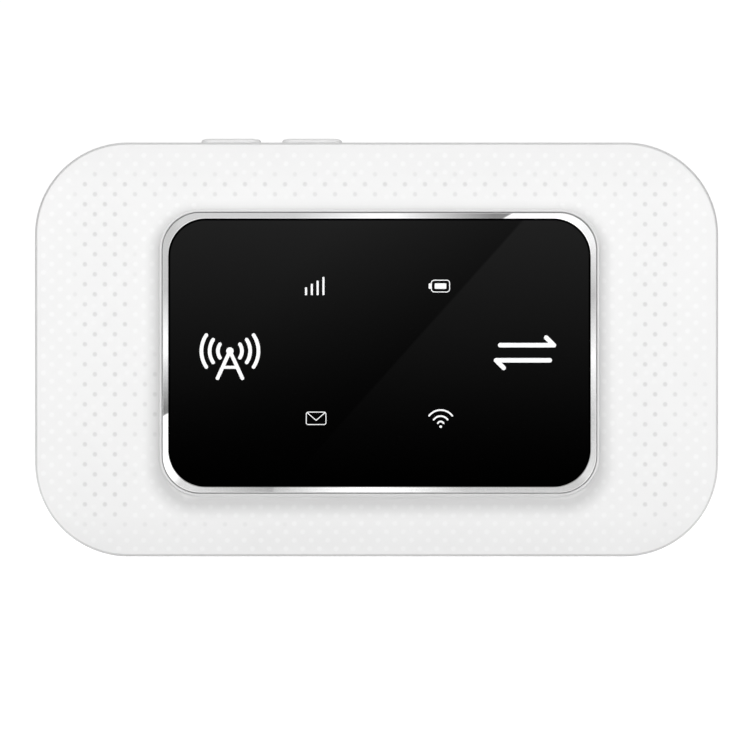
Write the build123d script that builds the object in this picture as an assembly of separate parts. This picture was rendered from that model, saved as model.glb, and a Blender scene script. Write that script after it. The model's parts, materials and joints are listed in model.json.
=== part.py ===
"""A pocket mobile hotspot, standing on its long bottom edge.

+X is to the right, +Y is towards the back cover and +Z is up, towards the two buttons.
The origin is the centre of the bottom edge. All sizes are in millimetres.

The hotspot is a flat plastic case in two shells. The front shell carries a raised
glossy window in a chrome frame, and the back shell is the battery door. Between them
a chassis clamps the circuit board against the front shell and makes the battery bay.
Depths are named from front to back: a smaller Y is nearer the front.
"""

import math
import os

from build123d import *

# ---------------------------------------------------------------- driving dimensions
CASE_WIDTH = 99.5
CASE_HEIGHT = 60.3
CASE_CORNER = 13.5
CENTRE_Z = CASE_HEIGHT / 2

# Depths, front to back
BEZEL_FRONT = -7.0
WINDOW_FRONT = -6.85
COLLAR_FRONT = -6.7
FACE_FRONT = -6.2
POCKET_FLOOR = -5.7
CAVITY_FRONT = -4.8
BOARD_FRONT = -2.6
BOARD_BACK = -1.8
CHASSIS_FRONT = -0.4
BAY_FLOOR = 0.3
DECK_BACK = 2.8
PARTING = 3.0
CELL_FRONT = 0.4
CELL_BACK = 5.4
DOOR_INSIDE = 5.75
CASE_BACK = 7.0

WALL = 1.4
DOOR_WALL = 1.2
FACE_CROWN_DROP = 0.2
FACE_CROWN_RUN = 4.5
FRONT_EDGE_RADIUS = 0.35
NOSE_DEPTH = 1.5
NOSE_TAPER = 6.0
DOOR_EDGE_RADIUS = 2.4
DOOR_SEAM = PARTING + 0.02
SEAM_CHAMFER = 0.15
FIT = 0.2
SLIDE_GAP = 0.1
TOUCH_GAP = 0.02
CUT_PAST = 1.0

# Window and its chrome frame, which sit slightly right of and below the case's centre
WINDOW_X = 0.42
WINDOW_Z = CENTRE_Z - 0.47
BEZEL_WIDTH = 63.1
BEZEL_HEIGHT = 40.7
BEZEL_CORNER = 5.4
BEZEL_BAND = 0.82
BEZEL_CHAMFER = 0.18
WINDOW_CORNER = 5.45
WINDOW_EDGE_RADIUS = 0.12
WINDOW_BACK = -5.85
COLLAR_BAND = 0.35
COLLAR_GAP = 0.12
COLLAR_ROOT = 0.3
ICON_DEPTH = 0.3
ADHESIVE_GAP = 0.1
ADHESIVE_BAND = 2.0

# Status icons: each pair sits this far left and right of the case's middle
SIGNAL_X = -9.0
BATTERY_X = 9.3
MESSAGE_X = -8.8
WIRELESS_X = 9.33
ICON_UPPER_Z = CENTRE_Z + 9.23
ICON_LOWER_Z = CENTRE_Z - 10.01
BAR_WIDTH = 0.3
BAR_PITCH = 0.843
BAR_HEIGHTS = (1.13, 1.65, 2.11, 2.63)
BATTERY_ICON_STROKE = 0.13
MESSAGE_STROKE = 0.12
WIRELESS_STROKE = 0.25
WIRELESS_ARCS = ((0.47, 62), (1.25, 54), (2.13, 52))
MAST_X = -21.34
MAST_Z = WINDOW_Z - 0.2
DATA_X = 21.59

# Buttons on the top edge
POWER_X = -21.2
PAIRING_X = -9.4
BUTTON_Y = -1.2
BUTTON_LENGTH = 8.7
BUTTON_DEPTH = 2.7
BUTTON_PROUD = 0.6
BUTTON_TAPER = 0.4
BUTTON_GAP = 0.12
BUTTON_FLANGE = 0.9
SWITCH_TOP = CASE_HEIGHT - 3.4
SWITCH_HEIGHT = 3.0
SWITCH_WIDTH = 4.6
SWITCH_DEPTH = 1.6
PLUNGER_TOP = CASE_HEIGHT - 2.7
PLUNGER_Y = BUTTON_Y + 0.2

# Lamps behind the icons, and the clear guides and baffle in front of them
LAMP_SPOTS = (
    (SIGNAL_X, ICON_UPPER_Z),
    (BATTERY_X, ICON_UPPER_Z),
    (MESSAGE_X, ICON_LOWER_Z),
    (WIRELESS_X, ICON_LOWER_Z),
)
LAMP_WIDTH = 1.6
LAMP_HEIGHT = 0.8
LAMP_THICKNESS = 0.6
GUIDE_WIDTH = 4.4
GUIDE_HEIGHT = 3.8
GUIDE_CLEARANCE = 0.75
BAFFLE_BORDER = 1.5
BAFFLE_BAND = 8.0
BAFFLE_CORNER = 1.0

# Board: each shield's middle and size, and each chip's middle, size and thickness
BOARD_GAP = 1.0
SHIELD_SKIN = 0.15
SHIELD_BACK = -0.55
SHIELD_CORNER = 0.8
MODEM_SPOT = (-22.0, 24.0, 26.0, 22.0)
RADIO_SPOT = (8.0, 24.0, 20.0, 22.0)
CHIPS = {
    "modem_chip": (-25.5, 24.0, 10.0, 10.0, 0.9),
    "memory_chip": (-15.5, 24.0, 7.0, 9.0, 0.8),
    "radio_chip": (5.0, 27.0, 6.0, 6.0, 0.8),
    "wifi_chip": (5.0, 18.5, 5.0, 5.0, 0.7),
    "power_chip": (10.5, 42.5, 5.0, 5.0, 0.8),
    "crystal": (-15.5, 31.5, 3.2, 2.5, 0.7),
}
AMPLIFIER_X = 12.0
AMPLIFIER_PITCH = 6.0
AMPLIFIER = (3.0, 3.0, 0.8)
SMALL_PASSIVE = (1.0, 0.5, 0.5)
LARGE_PASSIVE = (1.6, 0.8, 0.8)
PASSIVE_ROW_LEFT = -30.0
PASSIVE_ROW_PITCH = 3.2
PASSIVE_ROW_COUNT = 7
PASSIVE_COLUMN_OFFSET = 10.6
PASSIVE_COLUMN_PITCH = 4.0
PASSIVE_ROWS = ((40.0, SMALL_PASSIVE), (43.0, LARGE_PASSIVE))
INDUCTOR_SPOTS = (2.0, 5.5, 16.0)
INDUCTOR_Z = 43.0
INDUCTOR = (2.5, 2.0, 1.0)

# Battery
CELL_LEFT = -37.0
CELL_RIGHT = 23.0
CELL_BOTTOM = 7.0
CELL_TOP = 51.0
CELL_CAP = 2.6
BAY_GAP = 0.3
BAY_WALL = 0.9
CONTACT_Z = (CELL_BOTTOM + CELL_TOP) / 2
CONTACT_PITCH = 2.4
CONTACT_COUNT = 4
PAD_Y = 1.6
PAD_LENGTH = 1.8
PAD_HEIGHT = 1.4
PAD_RECESS = 0.5
PAD_SKIN = 0.2
BLADE_TIP = 0.4
BLADE_WIDTH = 0.6
BLADE_WALL = 0.6
BLADE_GAP = 0.02
BLADE_ROOT = 0.25
CONNECTOR_LEFT = CELL_RIGHT + 0.7
CONNECTOR_RIGHT = CELL_RIGHT + 3.1
CONNECTOR_HEIGHT = 10.4

# Card area, right of the battery
CARD_LEFT = 26.6
CARD_RIGHT = 44.4
CARD_BOTTOM = 6.0
CARD_TOP = 52.0
SIM_X = (CARD_LEFT + CARD_RIGHT) / 2
SIM_WIDTH = 12.0
SIM_LENGTH = 15.0
SIM_THICKNESS = 0.76
SIM_BOTTOM = 8.0
SIM_CORNER_CUT = 2.5
CARD_FRONT = BOARD_BACK + 0.35
SD_Z = 45.0
SD_WIDTH = 14.0
SD_HEIGHT = 12.0
SD_THICKNESS = 1.4

# Door lip and clips, each clip given as its place along a side and that side's name
LIP_ROOT = 0.3
LIP_FRONT = PARTING + 0.3
LIP_BACK = PARTING + 1.5
CLIP_LENGTH = 5.6
CLIP_THICKNESS = 0.9
CLIP_REACH = 2.0
CLIP_ROOT = 0.6
CLIP_GAP = 0.15
CLIP_ROOM = 0.25
CLIP_SPOTS = (
    (-28.0, "top"),
    (30.0, "top"),
    (-20.0, "bottom"),
    (32.0, "bottom"),
    (20.0, "left"),
    (40.0, "left"),
    (18.0, "right"),
    (42.0, "right"),
)

# Fingernail notch in the door's right edge, and the arrow that points at it
NOTCH_Z = CENTRE_Z
NOTCH_LENGTH = 11.0
NOTCH_WIDTH = 1.6
NOTCH_DEPTH = 0.7
ARROW = 2.4
ARROW_INSET = 7.0
ARROW_DEPTH = 0.2

# Chassis
DECK = 1.0
CHASSIS_WALL = 1.0
BAY_CORNER = 1.2
CARD_CORNER = 2.0

# Antennas and the sprung pins under them
FILM = 0.12
PIN_BARREL = 0.6
PIN_BARREL_HEIGHT = 3.0
PIN_TIP = 0.35
MAIN_PIN = (45.9, 24.0)
SECOND_PIN = (-44.4, 20.0)
WIFI_PIN = (19.0, 54.0)

# Reset switch
RESET_X = -42.0
RESET_Z = 33.5
RESET_HOLE = 0.6

# Fasteners
SCREW_SPOTS = ((-42.0, 45.0), (-35.0, 4.0), (-4.0, 4.0), (20.0, 4.0), (14.0, 55.0), (-34.0, 55.0))
SCREW_RADIUS = 0.8
SCREW_FIT = 0.03
SCREW_ROOM = 0.1
SCREW_HEAD_RADIUS = 1.4
SCREW_HEAD = 0.7
SCREW_SEAT = BAY_FLOOR + 0.5
SCREW_TIP = CAVITY_FRONT + 0.8
SCREW_RIM = 0.7
BOSS_RADIUS = 1.9
BOSS_FOOT_RADIUS = 2.7
BOSS_ROOM = 0.15

# Micro socket on the bottom edge
SOCKET_X = 8.0
SOCKET_WIDTH = 7.5
SOCKET_DEPTH = 2.5
SOCKET_LENGTH = 5.0
SOCKET_MOUTH = 0.5
SOCKET_CUT = 0.7
SOCKET_GAP = 0.3
SOCKET_SKIN = 0.25

OUT = "parts"


# ---------------------------------------------------------------- helpers
def slab(profile, front, back):
    """A front-view profile, given in X and Z, as a solid between two depths."""
    return extrude(Plane.XZ.offset(-back) * profile, back - front)


def block(x, z, width, height, front, back, corner=0.0):
    """A box centred on X and Z, with rounded corners in front view if corner is given."""
    if corner:
        outline = RectangleRounded(width, height, corner)
    else:
        outline = Rectangle(width, height)
    return slab(Pos(x, z) * outline, front, back)


def disc(x, z, radius, front, back):
    """A cylinder along Y."""
    return slab(Pos(x, z) * Circle(radius), front, back)


def case_outline(inset):
    """The case's front-view outline, shrunk by inset."""
    shape = RectangleRounded(CASE_WIDTH - 2 * inset, CASE_HEIGHT - 2 * inset, CASE_CORNER - inset)
    return Pos(0, CENTRE_Z) * shape


def window_outline(grow, corner):
    """The chrome frame's outline, grown by grow, with its own corner radius."""
    shape = RectangleRounded(BEZEL_WIDTH + 2 * grow, BEZEL_HEIGHT + 2 * grow, corner)
    return Pos(WINDOW_X, WINDOW_Z) * shape


def group(pieces):
    """Separate solids that share one node."""
    return Compound(children=list(pieces))


def arc_stroke(radius, half_angle, stroke):
    """A round-ended arc centred on +Y of its own frame."""
    reach = 2 * (radius + stroke)
    side = reach * math.tan(math.radians(half_angle))
    wedge = make_face(Polyline((0, 0), (side, reach), (-side, reach), (0, 0)))
    band = (Circle(radius + stroke / 2) - Circle(radius - stroke / 2)) & wedge
    end_x = radius * math.sin(math.radians(half_angle))
    end_y = radius * math.cos(math.radians(half_angle))
    return band + Pos(end_x, end_y) * Circle(stroke / 2) + Pos(-end_x, end_y) * Circle(stroke / 2)


def line_stroke(start, end, stroke):
    """A round-ended straight stroke."""
    length = math.dist(start, end)
    angle = math.degrees(math.atan2(end[1] - start[1], end[0] - start[0]))
    middle = ((start[0] + end[0]) / 2, (start[1] + end[1]) / 2)
    return Pos(*middle) * Rot(0, 0, angle) * SlotCenterToCenter(length, stroke)


# ---------------------------------------------------------------- icon outlines
def ringed(width, height, corner, stroke):
    """A rounded rectangle drawn with a stroke."""
    return RectangleRounded(width, height, corner) - RectangleRounded(
        width - 2 * stroke, height - 2 * stroke, corner - stroke
    )


def signal_outline():
    """Four bars of rising height."""
    base_z = ICON_UPPER_Z - BAR_HEIGHTS[-1] / 2
    outline = Sketch()
    for index, height in enumerate(BAR_HEIGHTS):
        x = SIGNAL_X + (index - (len(BAR_HEIGHTS) - 1) / 2) * BAR_PITCH
        outline += Pos(x, base_z + height / 2) * RectangleRounded(BAR_WIDTH, height, BAR_WIDTH * 0.2)
    return outline


def battery_outline():
    """An outlined cell with a nub on its left and a filled charge inside."""
    width, height = 2.79, 1.84
    charge_width, charge_height = 1.69, 0.8
    nub_width, nub_height = 0.38, 0.8
    outline = ringed(width, height, 0.5, BATTERY_ICON_STROKE)
    outline += RectangleRounded(charge_width, charge_height, 0.08)
    nub_x = 0.06 - (width + nub_width) / 2
    outline += Pos(nub_x, 0) * RectangleRounded(nub_width, nub_height, 0.15)
    return Pos(BATTERY_X, ICON_UPPER_Z) * outline


def message_outline():
    """An envelope with its flap."""
    half_flap, flap_top, flap_tip = 1.25, 0.78, -0.3
    outline = ringed(2.98, 1.93, 0.35, MESSAGE_STROKE)
    for side in (-1, 1):
        outline += line_stroke((side * half_flap, flap_top), (0, flap_tip), MESSAGE_STROKE)
    return Pos(MESSAGE_X, ICON_LOWER_Z) * outline


def wireless_outline():
    """A dot under three arcs."""
    dot_radius, dot_drop, arcs_drop = 0.19, 0.28, 0.93
    outline = Pos(0, -dot_drop) * Circle(dot_radius)
    for radius, half_angle in WIRELESS_ARCS:
        outline += arc_stroke(radius, half_angle, WIRELESS_STROKE)
    return Pos(WIRELESS_X, ICON_LOWER_Z - arcs_drop) * outline


def mast_outline():
    """A transmitter mast: two legs and a brace under a ball, with three waves on each side."""
    foot, foot_z, top_z = 1.8, -3.5, 0.45
    stroke = 0.54
    brace_z = foot_z + 0.4 * (top_z - foot_z)
    brace_x = 0.6 * foot
    outline = Pos(0, top_z) * Circle(stroke)
    outline += line_stroke((-brace_x, brace_z), (brace_x, brace_z), stroke * 0.8)
    for side in (-1, 1):
        outline += line_stroke((side * foot, foot_z), (0, top_z), stroke)
        for radius in (1.75, 2.95, 4.15):
            outline += Pos(0, top_z) * Rot(0, 0, side * 90) * arc_stroke(radius, 34, stroke)
    return Pos(MAST_X, MAST_Z) * outline


def data_outline():
    """Two opposed arrows, one each way, for data in and out."""
    stroke, length, spacing, barb, shift = 0.66, 7.8, 2.2, 1.1, 0.3
    tip = length / 2
    arrow = line_stroke((-tip, 0), (tip, 0), stroke) + line_stroke((tip, 0), (tip - barb, barb), stroke)
    upper = Pos(shift, spacing / 2) * arrow
    lower = Pos(-shift, -spacing / 2) * Rot(0, 0, 180) * arrow
    return Pos(DATA_X, WINDOW_Z) * (upper + lower)


ICON_OUTLINES = {
    "signal_icon": signal_outline(),
    "battery_icon": battery_outline(),
    "message_icon": message_outline(),
    "wifi_icon": wireless_outline(),
    "mast_mark": mast_outline(),
    "data_mark": data_outline(),
}


# ---------------------------------------------------------------- case
def button_slots(grow):
    """The two rounded openings for the buttons, as prisms through the top wall."""
    pieces = []
    for x in (POWER_X, PAIRING_X):
        outline = SlotOverall(BUTTON_LENGTH + 2 * grow, BUTTON_DEPTH + 2 * grow)
        plane = Plane.XY.offset(CASE_HEIGHT - WALL - CUT_PAST)
        pieces.append(extrude(plane * Pos(x, BUTTON_Y) * outline, WALL + 2 * CUT_PAST))
    return pieces


def socket_profile(grow):
    """The charging socket's mouth in X and Y: a rectangle with its two back corners cut."""
    front = BOARD_BACK - grow
    back = BOARD_BACK + SOCKET_DEPTH + grow
    half = SOCKET_WIDTH / 2 + grow
    points = [
        (SOCKET_X - half, front),
        (SOCKET_X + half, front),
        (SOCKET_X + half, back - SOCKET_CUT),
        (SOCKET_X + half - SOCKET_CUT, back),
        (SOCKET_X - half + SOCKET_CUT, back),
        (SOCKET_X - half, back - SOCKET_CUT),
        (SOCKET_X - half, front),
    ]
    return make_face(Polyline(*points))


def front_block():
    """The front shell's solid outside: a straight wall, a tapered nose and a crowned face."""
    nose_back = FACE_FRONT + NOSE_DEPTH
    crown_edge = FACE_FRONT + FACE_CROWN_DROP
    wall = slab(case_outline(0), nose_back, PARTING)
    nose = extrude(Plane.XZ.offset(-nose_back) * case_outline(0), NOSE_DEPTH, taper=NOSE_TAPER)
    shell = wall + nose
    face = shell.faces().sort_by(Axis.Y)[0]
    shell = chamfer(face.edges(), FACE_CROWN_RUN, FACE_CROWN_DROP, reference=face)
    rim = shell.edges().filter_by_position(Axis.Y, crown_edge - 0.01, crown_edge + 0.01)
    shell = fillet(rim, FRONT_EDGE_RADIUS)
    return chamfer(shell.faces().sort_by(Axis.Y)[-1].edges(), SEAM_CHAMFER)


def front_cover():
    """The front shell: face, side walls, window pocket, collar, light openings and bosses."""
    shell = front_block()
    shell -= slab(case_outline(WALL), CAVITY_FRONT, PARTING + CUT_PAST)
    collar = window_outline(COLLAR_GAP + COLLAR_BAND, BEZEL_CORNER + COLLAR_GAP + COLLAR_BAND)
    pocket = window_outline(COLLAR_GAP, BEZEL_CORNER + COLLAR_GAP)
    shell += slab(collar, COLLAR_FRONT, FACE_FRONT + COLLAR_ROOT)
    shell -= slab(pocket, BEZEL_FRONT - CUT_PAST, POCKET_FLOOR)
    guide_width, guide_height = GUIDE_WIDTH + FIT, GUIDE_HEIGHT + FIT
    for x, z in LAMP_SPOTS:
        shell -= block(x, z, guide_width, guide_height, POCKET_FLOOR - CUT_PAST, CAVITY_FRONT + CUT_PAST)
    for slot in button_slots(BUTTON_GAP):
        shell -= slot
    shell -= extrude(Plane.XY.offset(-CUT_PAST) * socket_profile(SOCKET_GAP), WALL + 2 * CUT_PAST)
    inside_wall = slab(case_outline(WALL / 2), BEZEL_FRONT, PARTING)
    for x, z in SCREW_SPOTS:
        boss = disc(x, z, BOSS_FOOT_RADIUS, CAVITY_FRONT, BOARD_FRONT)
        boss += disc(x, z, BOSS_RADIUS, BOARD_FRONT, CHASSIS_FRONT)
        shell += boss & inside_wall
        shell -= disc(x, z, SCREW_RADIUS + SCREW_FIT, CAVITY_FRONT, CHASSIS_FRONT)
    return shell


def clip_block(place, side, grow, front, back):
    """The space of one door clip, lying against the inside of the front shell's side wall."""
    length, thickness = CLIP_LENGTH + 2 * grow, CLIP_THICKNESS + grow
    inside_x = CASE_WIDTH / 2 - WALL - CLIP_GAP
    inside_z = CASE_HEIGHT / 2 - WALL - CLIP_GAP
    if side in ("top", "bottom"):
        sign = 1 if side == "top" else -1
        z = CENTRE_Z + sign * (inside_z - thickness / 2)
        return block(place, z, length, thickness, front, back)
    sign = 1 if side == "right" else -1
    return block(sign * (inside_x - thickness / 2), place, thickness, length, front, back)


def back_cover():
    """The battery door: a shallow tray with clips, an inner rib frame and a nail notch."""
    door = slab(case_outline(0), DOOR_SEAM, CASE_BACK)
    door = fillet(door.faces().sort_by(Axis.Y)[-1].edges(), DOOR_EDGE_RADIUS)
    door = chamfer(door.faces().sort_by(Axis.Y)[0].edges(), SEAM_CHAMFER)
    cavity = slab(case_outline(WALL), PARTING - CUT_PAST, DOOR_INSIDE)
    cavity = fillet(cavity.faces().sort_by(Axis.Y)[-1].edges(), DOOR_EDGE_RADIUS - DOOR_WALL)
    door -= cavity
    lip = case_outline(WALL - LIP_ROOT) - case_outline(WALL + CLIP_GAP + CLIP_THICKNESS)
    door += slab(lip, LIP_FRONT, LIP_BACK)
    for place, side in CLIP_SPOTS:
        door += clip_block(place, side, 0, PARTING - CLIP_REACH, PARTING + CLIP_ROOT)
    notch_plane = Plane.YZ.offset(CASE_WIDTH / 2 + CUT_PAST)
    notch = Pos(DOOR_SEAM, NOTCH_Z) * SlotOverall(NOTCH_LENGTH, NOTCH_WIDTH, rotation=90)
    door -= extrude(notch_plane * notch, -CUT_PAST - NOTCH_DEPTH)
    triangle = Rot(0, 0, -90) * Triangle(a=ARROW, b=ARROW, c=ARROW)
    arrow = Pos(CASE_WIDTH / 2 - ARROW_INSET, NOTCH_Z) * triangle
    return door - slab(arrow, CASE_BACK - ARROW_DEPTH, CASE_BACK + CUT_PAST)


def deck_opening(x, z, width, height, back=DECK_BACK + CUT_PAST, corner=0.0):
    """A cut through the chassis from its front up to a depth."""
    return block(x, z, width, height, CHASSIS_FRONT - CUT_PAST, back, corner)


def chassis_openings():
    """The chassis's cuts over the card sockets, the switches, the socket and the contact block."""
    card_x, card_z = (CARD_LEFT + CARD_RIGHT) / 2, (CARD_BOTTOM + CARD_TOP) / 2
    card_width, card_height = CARD_RIGHT - CARD_LEFT, CARD_TOP - CARD_BOTTOM
    switch_z, switch_back = SWITCH_TOP - 0.4, BUTTON_Y + 2.6
    switch_width, switch_height = BUTTON_LENGTH + 3.0, 5.6
    socket_z, socket_back = SOCKET_MOUTH + SOCKET_LENGTH / 2, BOARD_BACK + SOCKET_DEPTH + FIT
    socket_width, socket_height = SOCKET_WIDTH + 1.0, SOCKET_LENGTH + 0.4
    contact_left, contact_right = CELL_RIGHT - 0.4, CONNECTOR_RIGHT + SLIDE_GAP
    contact_x, contact_width = (contact_left + contact_right) / 2, contact_right - contact_left
    cuts = [
        deck_opening(card_x, card_z, card_width, card_height, corner=CARD_CORNER),
        deck_opening(SOCKET_X, socket_z, socket_width, socket_height, socket_back),
        deck_opening(contact_x, CONTACT_Z, contact_width, CONNECTOR_HEIGHT + 0.6),
    ]
    for x in (POWER_X, PAIRING_X):
        cuts.append(deck_opening(x, switch_z, switch_width, switch_height, switch_back))
    return cuts


def mid_frame():
    """The chassis: a deck round the battery bay, open over the card sockets and switches."""
    outline = case_outline(WALL + FIT)
    frame = slab(outline, CHASSIS_FRONT, DECK_BACK)
    inner = slab(case_outline(WALL + FIT + CHASSIS_WALL), CHASSIS_FRONT, DECK_BACK - DECK)
    bay_x, bay_z = (CELL_LEFT + CELL_RIGHT) / 2, (CELL_BOTTOM + CELL_TOP) / 2
    bay_width, bay_height = CELL_RIGHT - CELL_LEFT + 2 * BAY_GAP, CELL_TOP - CELL_BOTTOM + 2 * BAY_GAP
    well_width, well_height = bay_width + 2 * BAY_WALL, bay_height + 2 * BAY_WALL
    well_corner = BAY_CORNER + BAY_WALL
    frame -= inner - block(bay_x, bay_z, well_width, well_height, CHASSIS_FRONT, DECK_BACK, well_corner)
    frame -= block(bay_x, bay_z, bay_width, bay_height, BAY_FLOOR, DECK_BACK + CUT_PAST, BAY_CORNER)
    for opening in chassis_openings():
        frame -= opening
    for place, side in CLIP_SPOTS:
        frame -= clip_block(place, side, CLIP_ROOM, PARTING - CLIP_REACH - CLIP_ROOM, PARTING + CUT_PAST)
    for x, z in SCREW_SPOTS:
        frame += disc(x, z, SCREW_HEAD_RADIUS + SCREW_RIM, CHASSIS_FRONT, DECK_BACK)
    frame &= slab(outline, CHASSIS_FRONT, DECK_BACK)
    front, back = CHASSIS_FRONT - CUT_PAST, DECK_BACK + CUT_PAST
    for x, z in SCREW_SPOTS:
        frame -= disc(x, z, SCREW_RADIUS + SCREW_ROOM, front, back)
        frame -= disc(x, z, SCREW_HEAD_RADIUS + SCREW_ROOM, SCREW_SEAT, back)
    for x, z in (MAIN_PIN, SECOND_PIN, WIFI_PIN):
        frame -= disc(x, z, PIN_BARREL + SLIDE_GAP, front, back)
    return frame - disc(RESET_X, RESET_Z, RESET_HOLE, front, back)


# ---------------------------------------------------------------- window
def bezel_ring():
    """The chrome frame round the window, with small bevels on its front edges."""
    ring = slab(window_outline(0, BEZEL_CORNER), BEZEL_FRONT, POCKET_FLOOR - TOUCH_GAP)
    opening = window_outline(-BEZEL_BAND, WINDOW_CORNER)
    ring -= slab(opening, BEZEL_FRONT - CUT_PAST, POCKET_FLOOR + CUT_PAST)
    return chamfer(ring.faces().sort_by(Axis.Y)[0].edges(), BEZEL_CHAMFER)


def window_panel():
    """The glossy black panel, with a pocket for each icon and mark."""
    rim = window_outline(-BEZEL_BAND - TOUCH_GAP, WINDOW_CORNER - TOUCH_GAP)
    panel = slab(rim, WINDOW_FRONT, WINDOW_BACK)
    panel = fillet(panel.faces().sort_by(Axis.Y)[0].edges(), WINDOW_EDGE_RADIUS)
    for outline in ICON_OUTLINES.values():
        panel -= slab(outline, WINDOW_FRONT - CUT_PAST, WINDOW_FRONT + ICON_DEPTH)
    return panel


def window_adhesive():
    """The double-sided tape behind the window's rim."""
    outer = window_outline(-BEZEL_BAND - ADHESIVE_GAP, WINDOW_CORNER - ADHESIVE_GAP)
    inner = window_outline(-BEZEL_BAND - ADHESIVE_BAND, WINDOW_CORNER - ADHESIVE_BAND)
    return slab(outer - inner, WINDOW_BACK, POCKET_FLOOR)


def light_guides():
    """Four clear blocks that carry the lamps' light to the icons."""
    back = BOARD_FRONT - GUIDE_CLEARANCE
    return group(block(x, z, GUIDE_WIDTH, GUIDE_HEIGHT, POCKET_FLOOR, back) for x, z in LAMP_SPOTS)


def light_baffle():
    """A black rubber frame that keeps each lamp's light to its own icon."""
    x = (SIGNAL_X + BATTERY_X) / 2
    z = (ICON_UPPER_Z + ICON_LOWER_Z) / 2
    width = BATTERY_X - SIGNAL_X + GUIDE_WIDTH + 2 * BAFFLE_BORDER
    height = ICON_UPPER_Z - ICON_LOWER_Z + GUIDE_HEIGHT + 2 * BAFFLE_BORDER
    opening_width, opening_height = width - 2 * BAFFLE_BAND, height - 2 * BAFFLE_BAND
    baffle = block(x, z, width, height, CAVITY_FRONT, BOARD_FRONT, BAFFLE_BORDER)
    front, back = CAVITY_FRONT - CUT_PAST, BOARD_FRONT + CUT_PAST
    baffle -= block(x, z, opening_width, opening_height, front, back, BAFFLE_CORNER)
    for x, z in LAMP_SPOTS:
        baffle -= block(x, z, GUIDE_WIDTH + FIT, GUIDE_HEIGHT + FIT, front, back)
    return baffle


def status_leds():
    """Four surface-mount lamps."""
    front = BOARD_FRONT - LAMP_THICKNESS
    return group(block(x, z, LAMP_WIDTH, LAMP_HEIGHT, front, BOARD_FRONT) for x, z in LAMP_SPOTS)


# ---------------------------------------------------------------- board
def main_board():
    """The circuit board, with clearance holes for the screw bosses."""
    board = slab(case_outline(WALL + BOARD_GAP), BOARD_FRONT, BOARD_BACK)
    front, back = BOARD_FRONT - CUT_PAST, BOARD_BACK + CUT_PAST
    for x, z in SCREW_SPOTS:
        board -= disc(x, z, BOSS_RADIUS + BOSS_ROOM, front, back)
    notch_width, notch_height = BUTTON_LENGTH + 3.2, 4.2
    for x in (POWER_X, PAIRING_X):
        board -= block(x, CASE_HEIGHT - WALL - BOARD_GAP, notch_width, notch_height, front, back)
    return board


def shield_can(spot):
    """A pressed metal lid over one area of the board."""
    x, z, width, height = spot
    inner_width, inner_height = width - 2 * SHIELD_SKIN, height - 2 * SHIELD_SKIN
    inner_back, inner_corner = SHIELD_BACK - SHIELD_SKIN, SHIELD_CORNER - SHIELD_SKIN
    can = block(x, z, width, height, BOARD_BACK, SHIELD_BACK, SHIELD_CORNER)
    return can - block(x, z, inner_width, inner_height, BOARD_BACK - CUT_PAST, inner_back, inner_corner)


def chip(x, z, width, height, thickness, corner=0.0):
    """A moulded package on the back of the board."""
    return block(x, z, width, height, BOARD_BACK, BOARD_BACK + thickness, corner)


def amplifier_chips():
    """Three small radio amplifier packages."""
    middle = RADIO_SPOT[1]
    return group(chip(AMPLIFIER_X, middle + step * AMPLIFIER_PITCH, *AMPLIFIER) for step in (-1, 0, 1))


def board_passives():
    """Rows of small capacitors and resistors round the chips."""
    modem_x, modem_z = MODEM_SPOT[0], MODEM_SPOT[1]
    pieces = []
    for row in range(-2, 3):
        for side in (-1, 1):
            x, z = modem_x + side * PASSIVE_COLUMN_OFFSET, modem_z + row * PASSIVE_COLUMN_PITCH
            pieces.append(chip(x, z, *SMALL_PASSIVE))
    for z, size in PASSIVE_ROWS:
        for column in range(PASSIVE_ROW_COUNT):
            pieces.append(chip(PASSIVE_ROW_LEFT + column * PASSIVE_ROW_PITCH, z, *size))
    return group(pieces)


def inductors():
    """Three power inductors beside the power chip."""
    return group(chip(x, INDUCTOR_Z, *INDUCTOR, corner=0.3) for x in INDUCTOR_SPOTS)


# ---------------------------------------------------------------- buttons and switches
def button_cap(x):
    """A tapered cap, a flange that keeps it in the case and a short stem over the switch."""
    flange_thickness, flange_gap = 0.65, 0.1
    flange_top = CASE_HEIGHT - WALL - flange_gap
    flange_plane = Plane.XY.offset(flange_top - flange_thickness)
    cap_plane = Plane.XY.offset(flange_top)
    stem_plane = Plane.XY.offset(PLUNGER_TOP + TOUCH_GAP)
    place = Pos(x, BUTTON_Y)
    cap_height = CASE_HEIGHT + BUTTON_PROUD - flange_top
    cap = extrude(cap_plane * place * SlotOverall(BUTTON_LENGTH, BUTTON_DEPTH), cap_height)
    cap = chamfer(cap.faces().sort_by(Axis.Z)[-1].edges(), BUTTON_TAPER)
    flange = SlotOverall(BUTTON_LENGTH + 2 * BUTTON_FLANGE, BUTTON_DEPTH + BUTTON_FLANGE)
    cap += extrude(flange_plane * place * flange, flange_thickness)
    stem_height = flange_top - flange_thickness - PLUNGER_TOP - TOUCH_GAP
    return cap + extrude(stem_plane * place * Rectangle(2.4, 1.2), stem_height)


def side_switch(x):
    """A side-pushed tact switch with a well for its plunger."""
    z = SWITCH_TOP - SWITCH_HEIGHT / 2
    body = block(x, z, SWITCH_WIDTH, SWITCH_HEIGHT, BOARD_BACK, BOARD_BACK + SWITCH_DEPTH)
    well = Plane.XY.offset(SWITCH_TOP - 1.0) * Pos(x, PLUNGER_Y) * Rectangle(2.1, 0.8)
    return body - extrude(well, 1.0 + CUT_PAST)


def side_plunger(x):
    """The plunger of a side-pushed switch."""
    foot = 0.6
    plane = Plane.XY.offset(SWITCH_TOP - foot) * Pos(x, PLUNGER_Y)
    return extrude(plane * Rectangle(2.0, 0.7), PLUNGER_TOP - SWITCH_TOP + foot)


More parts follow.
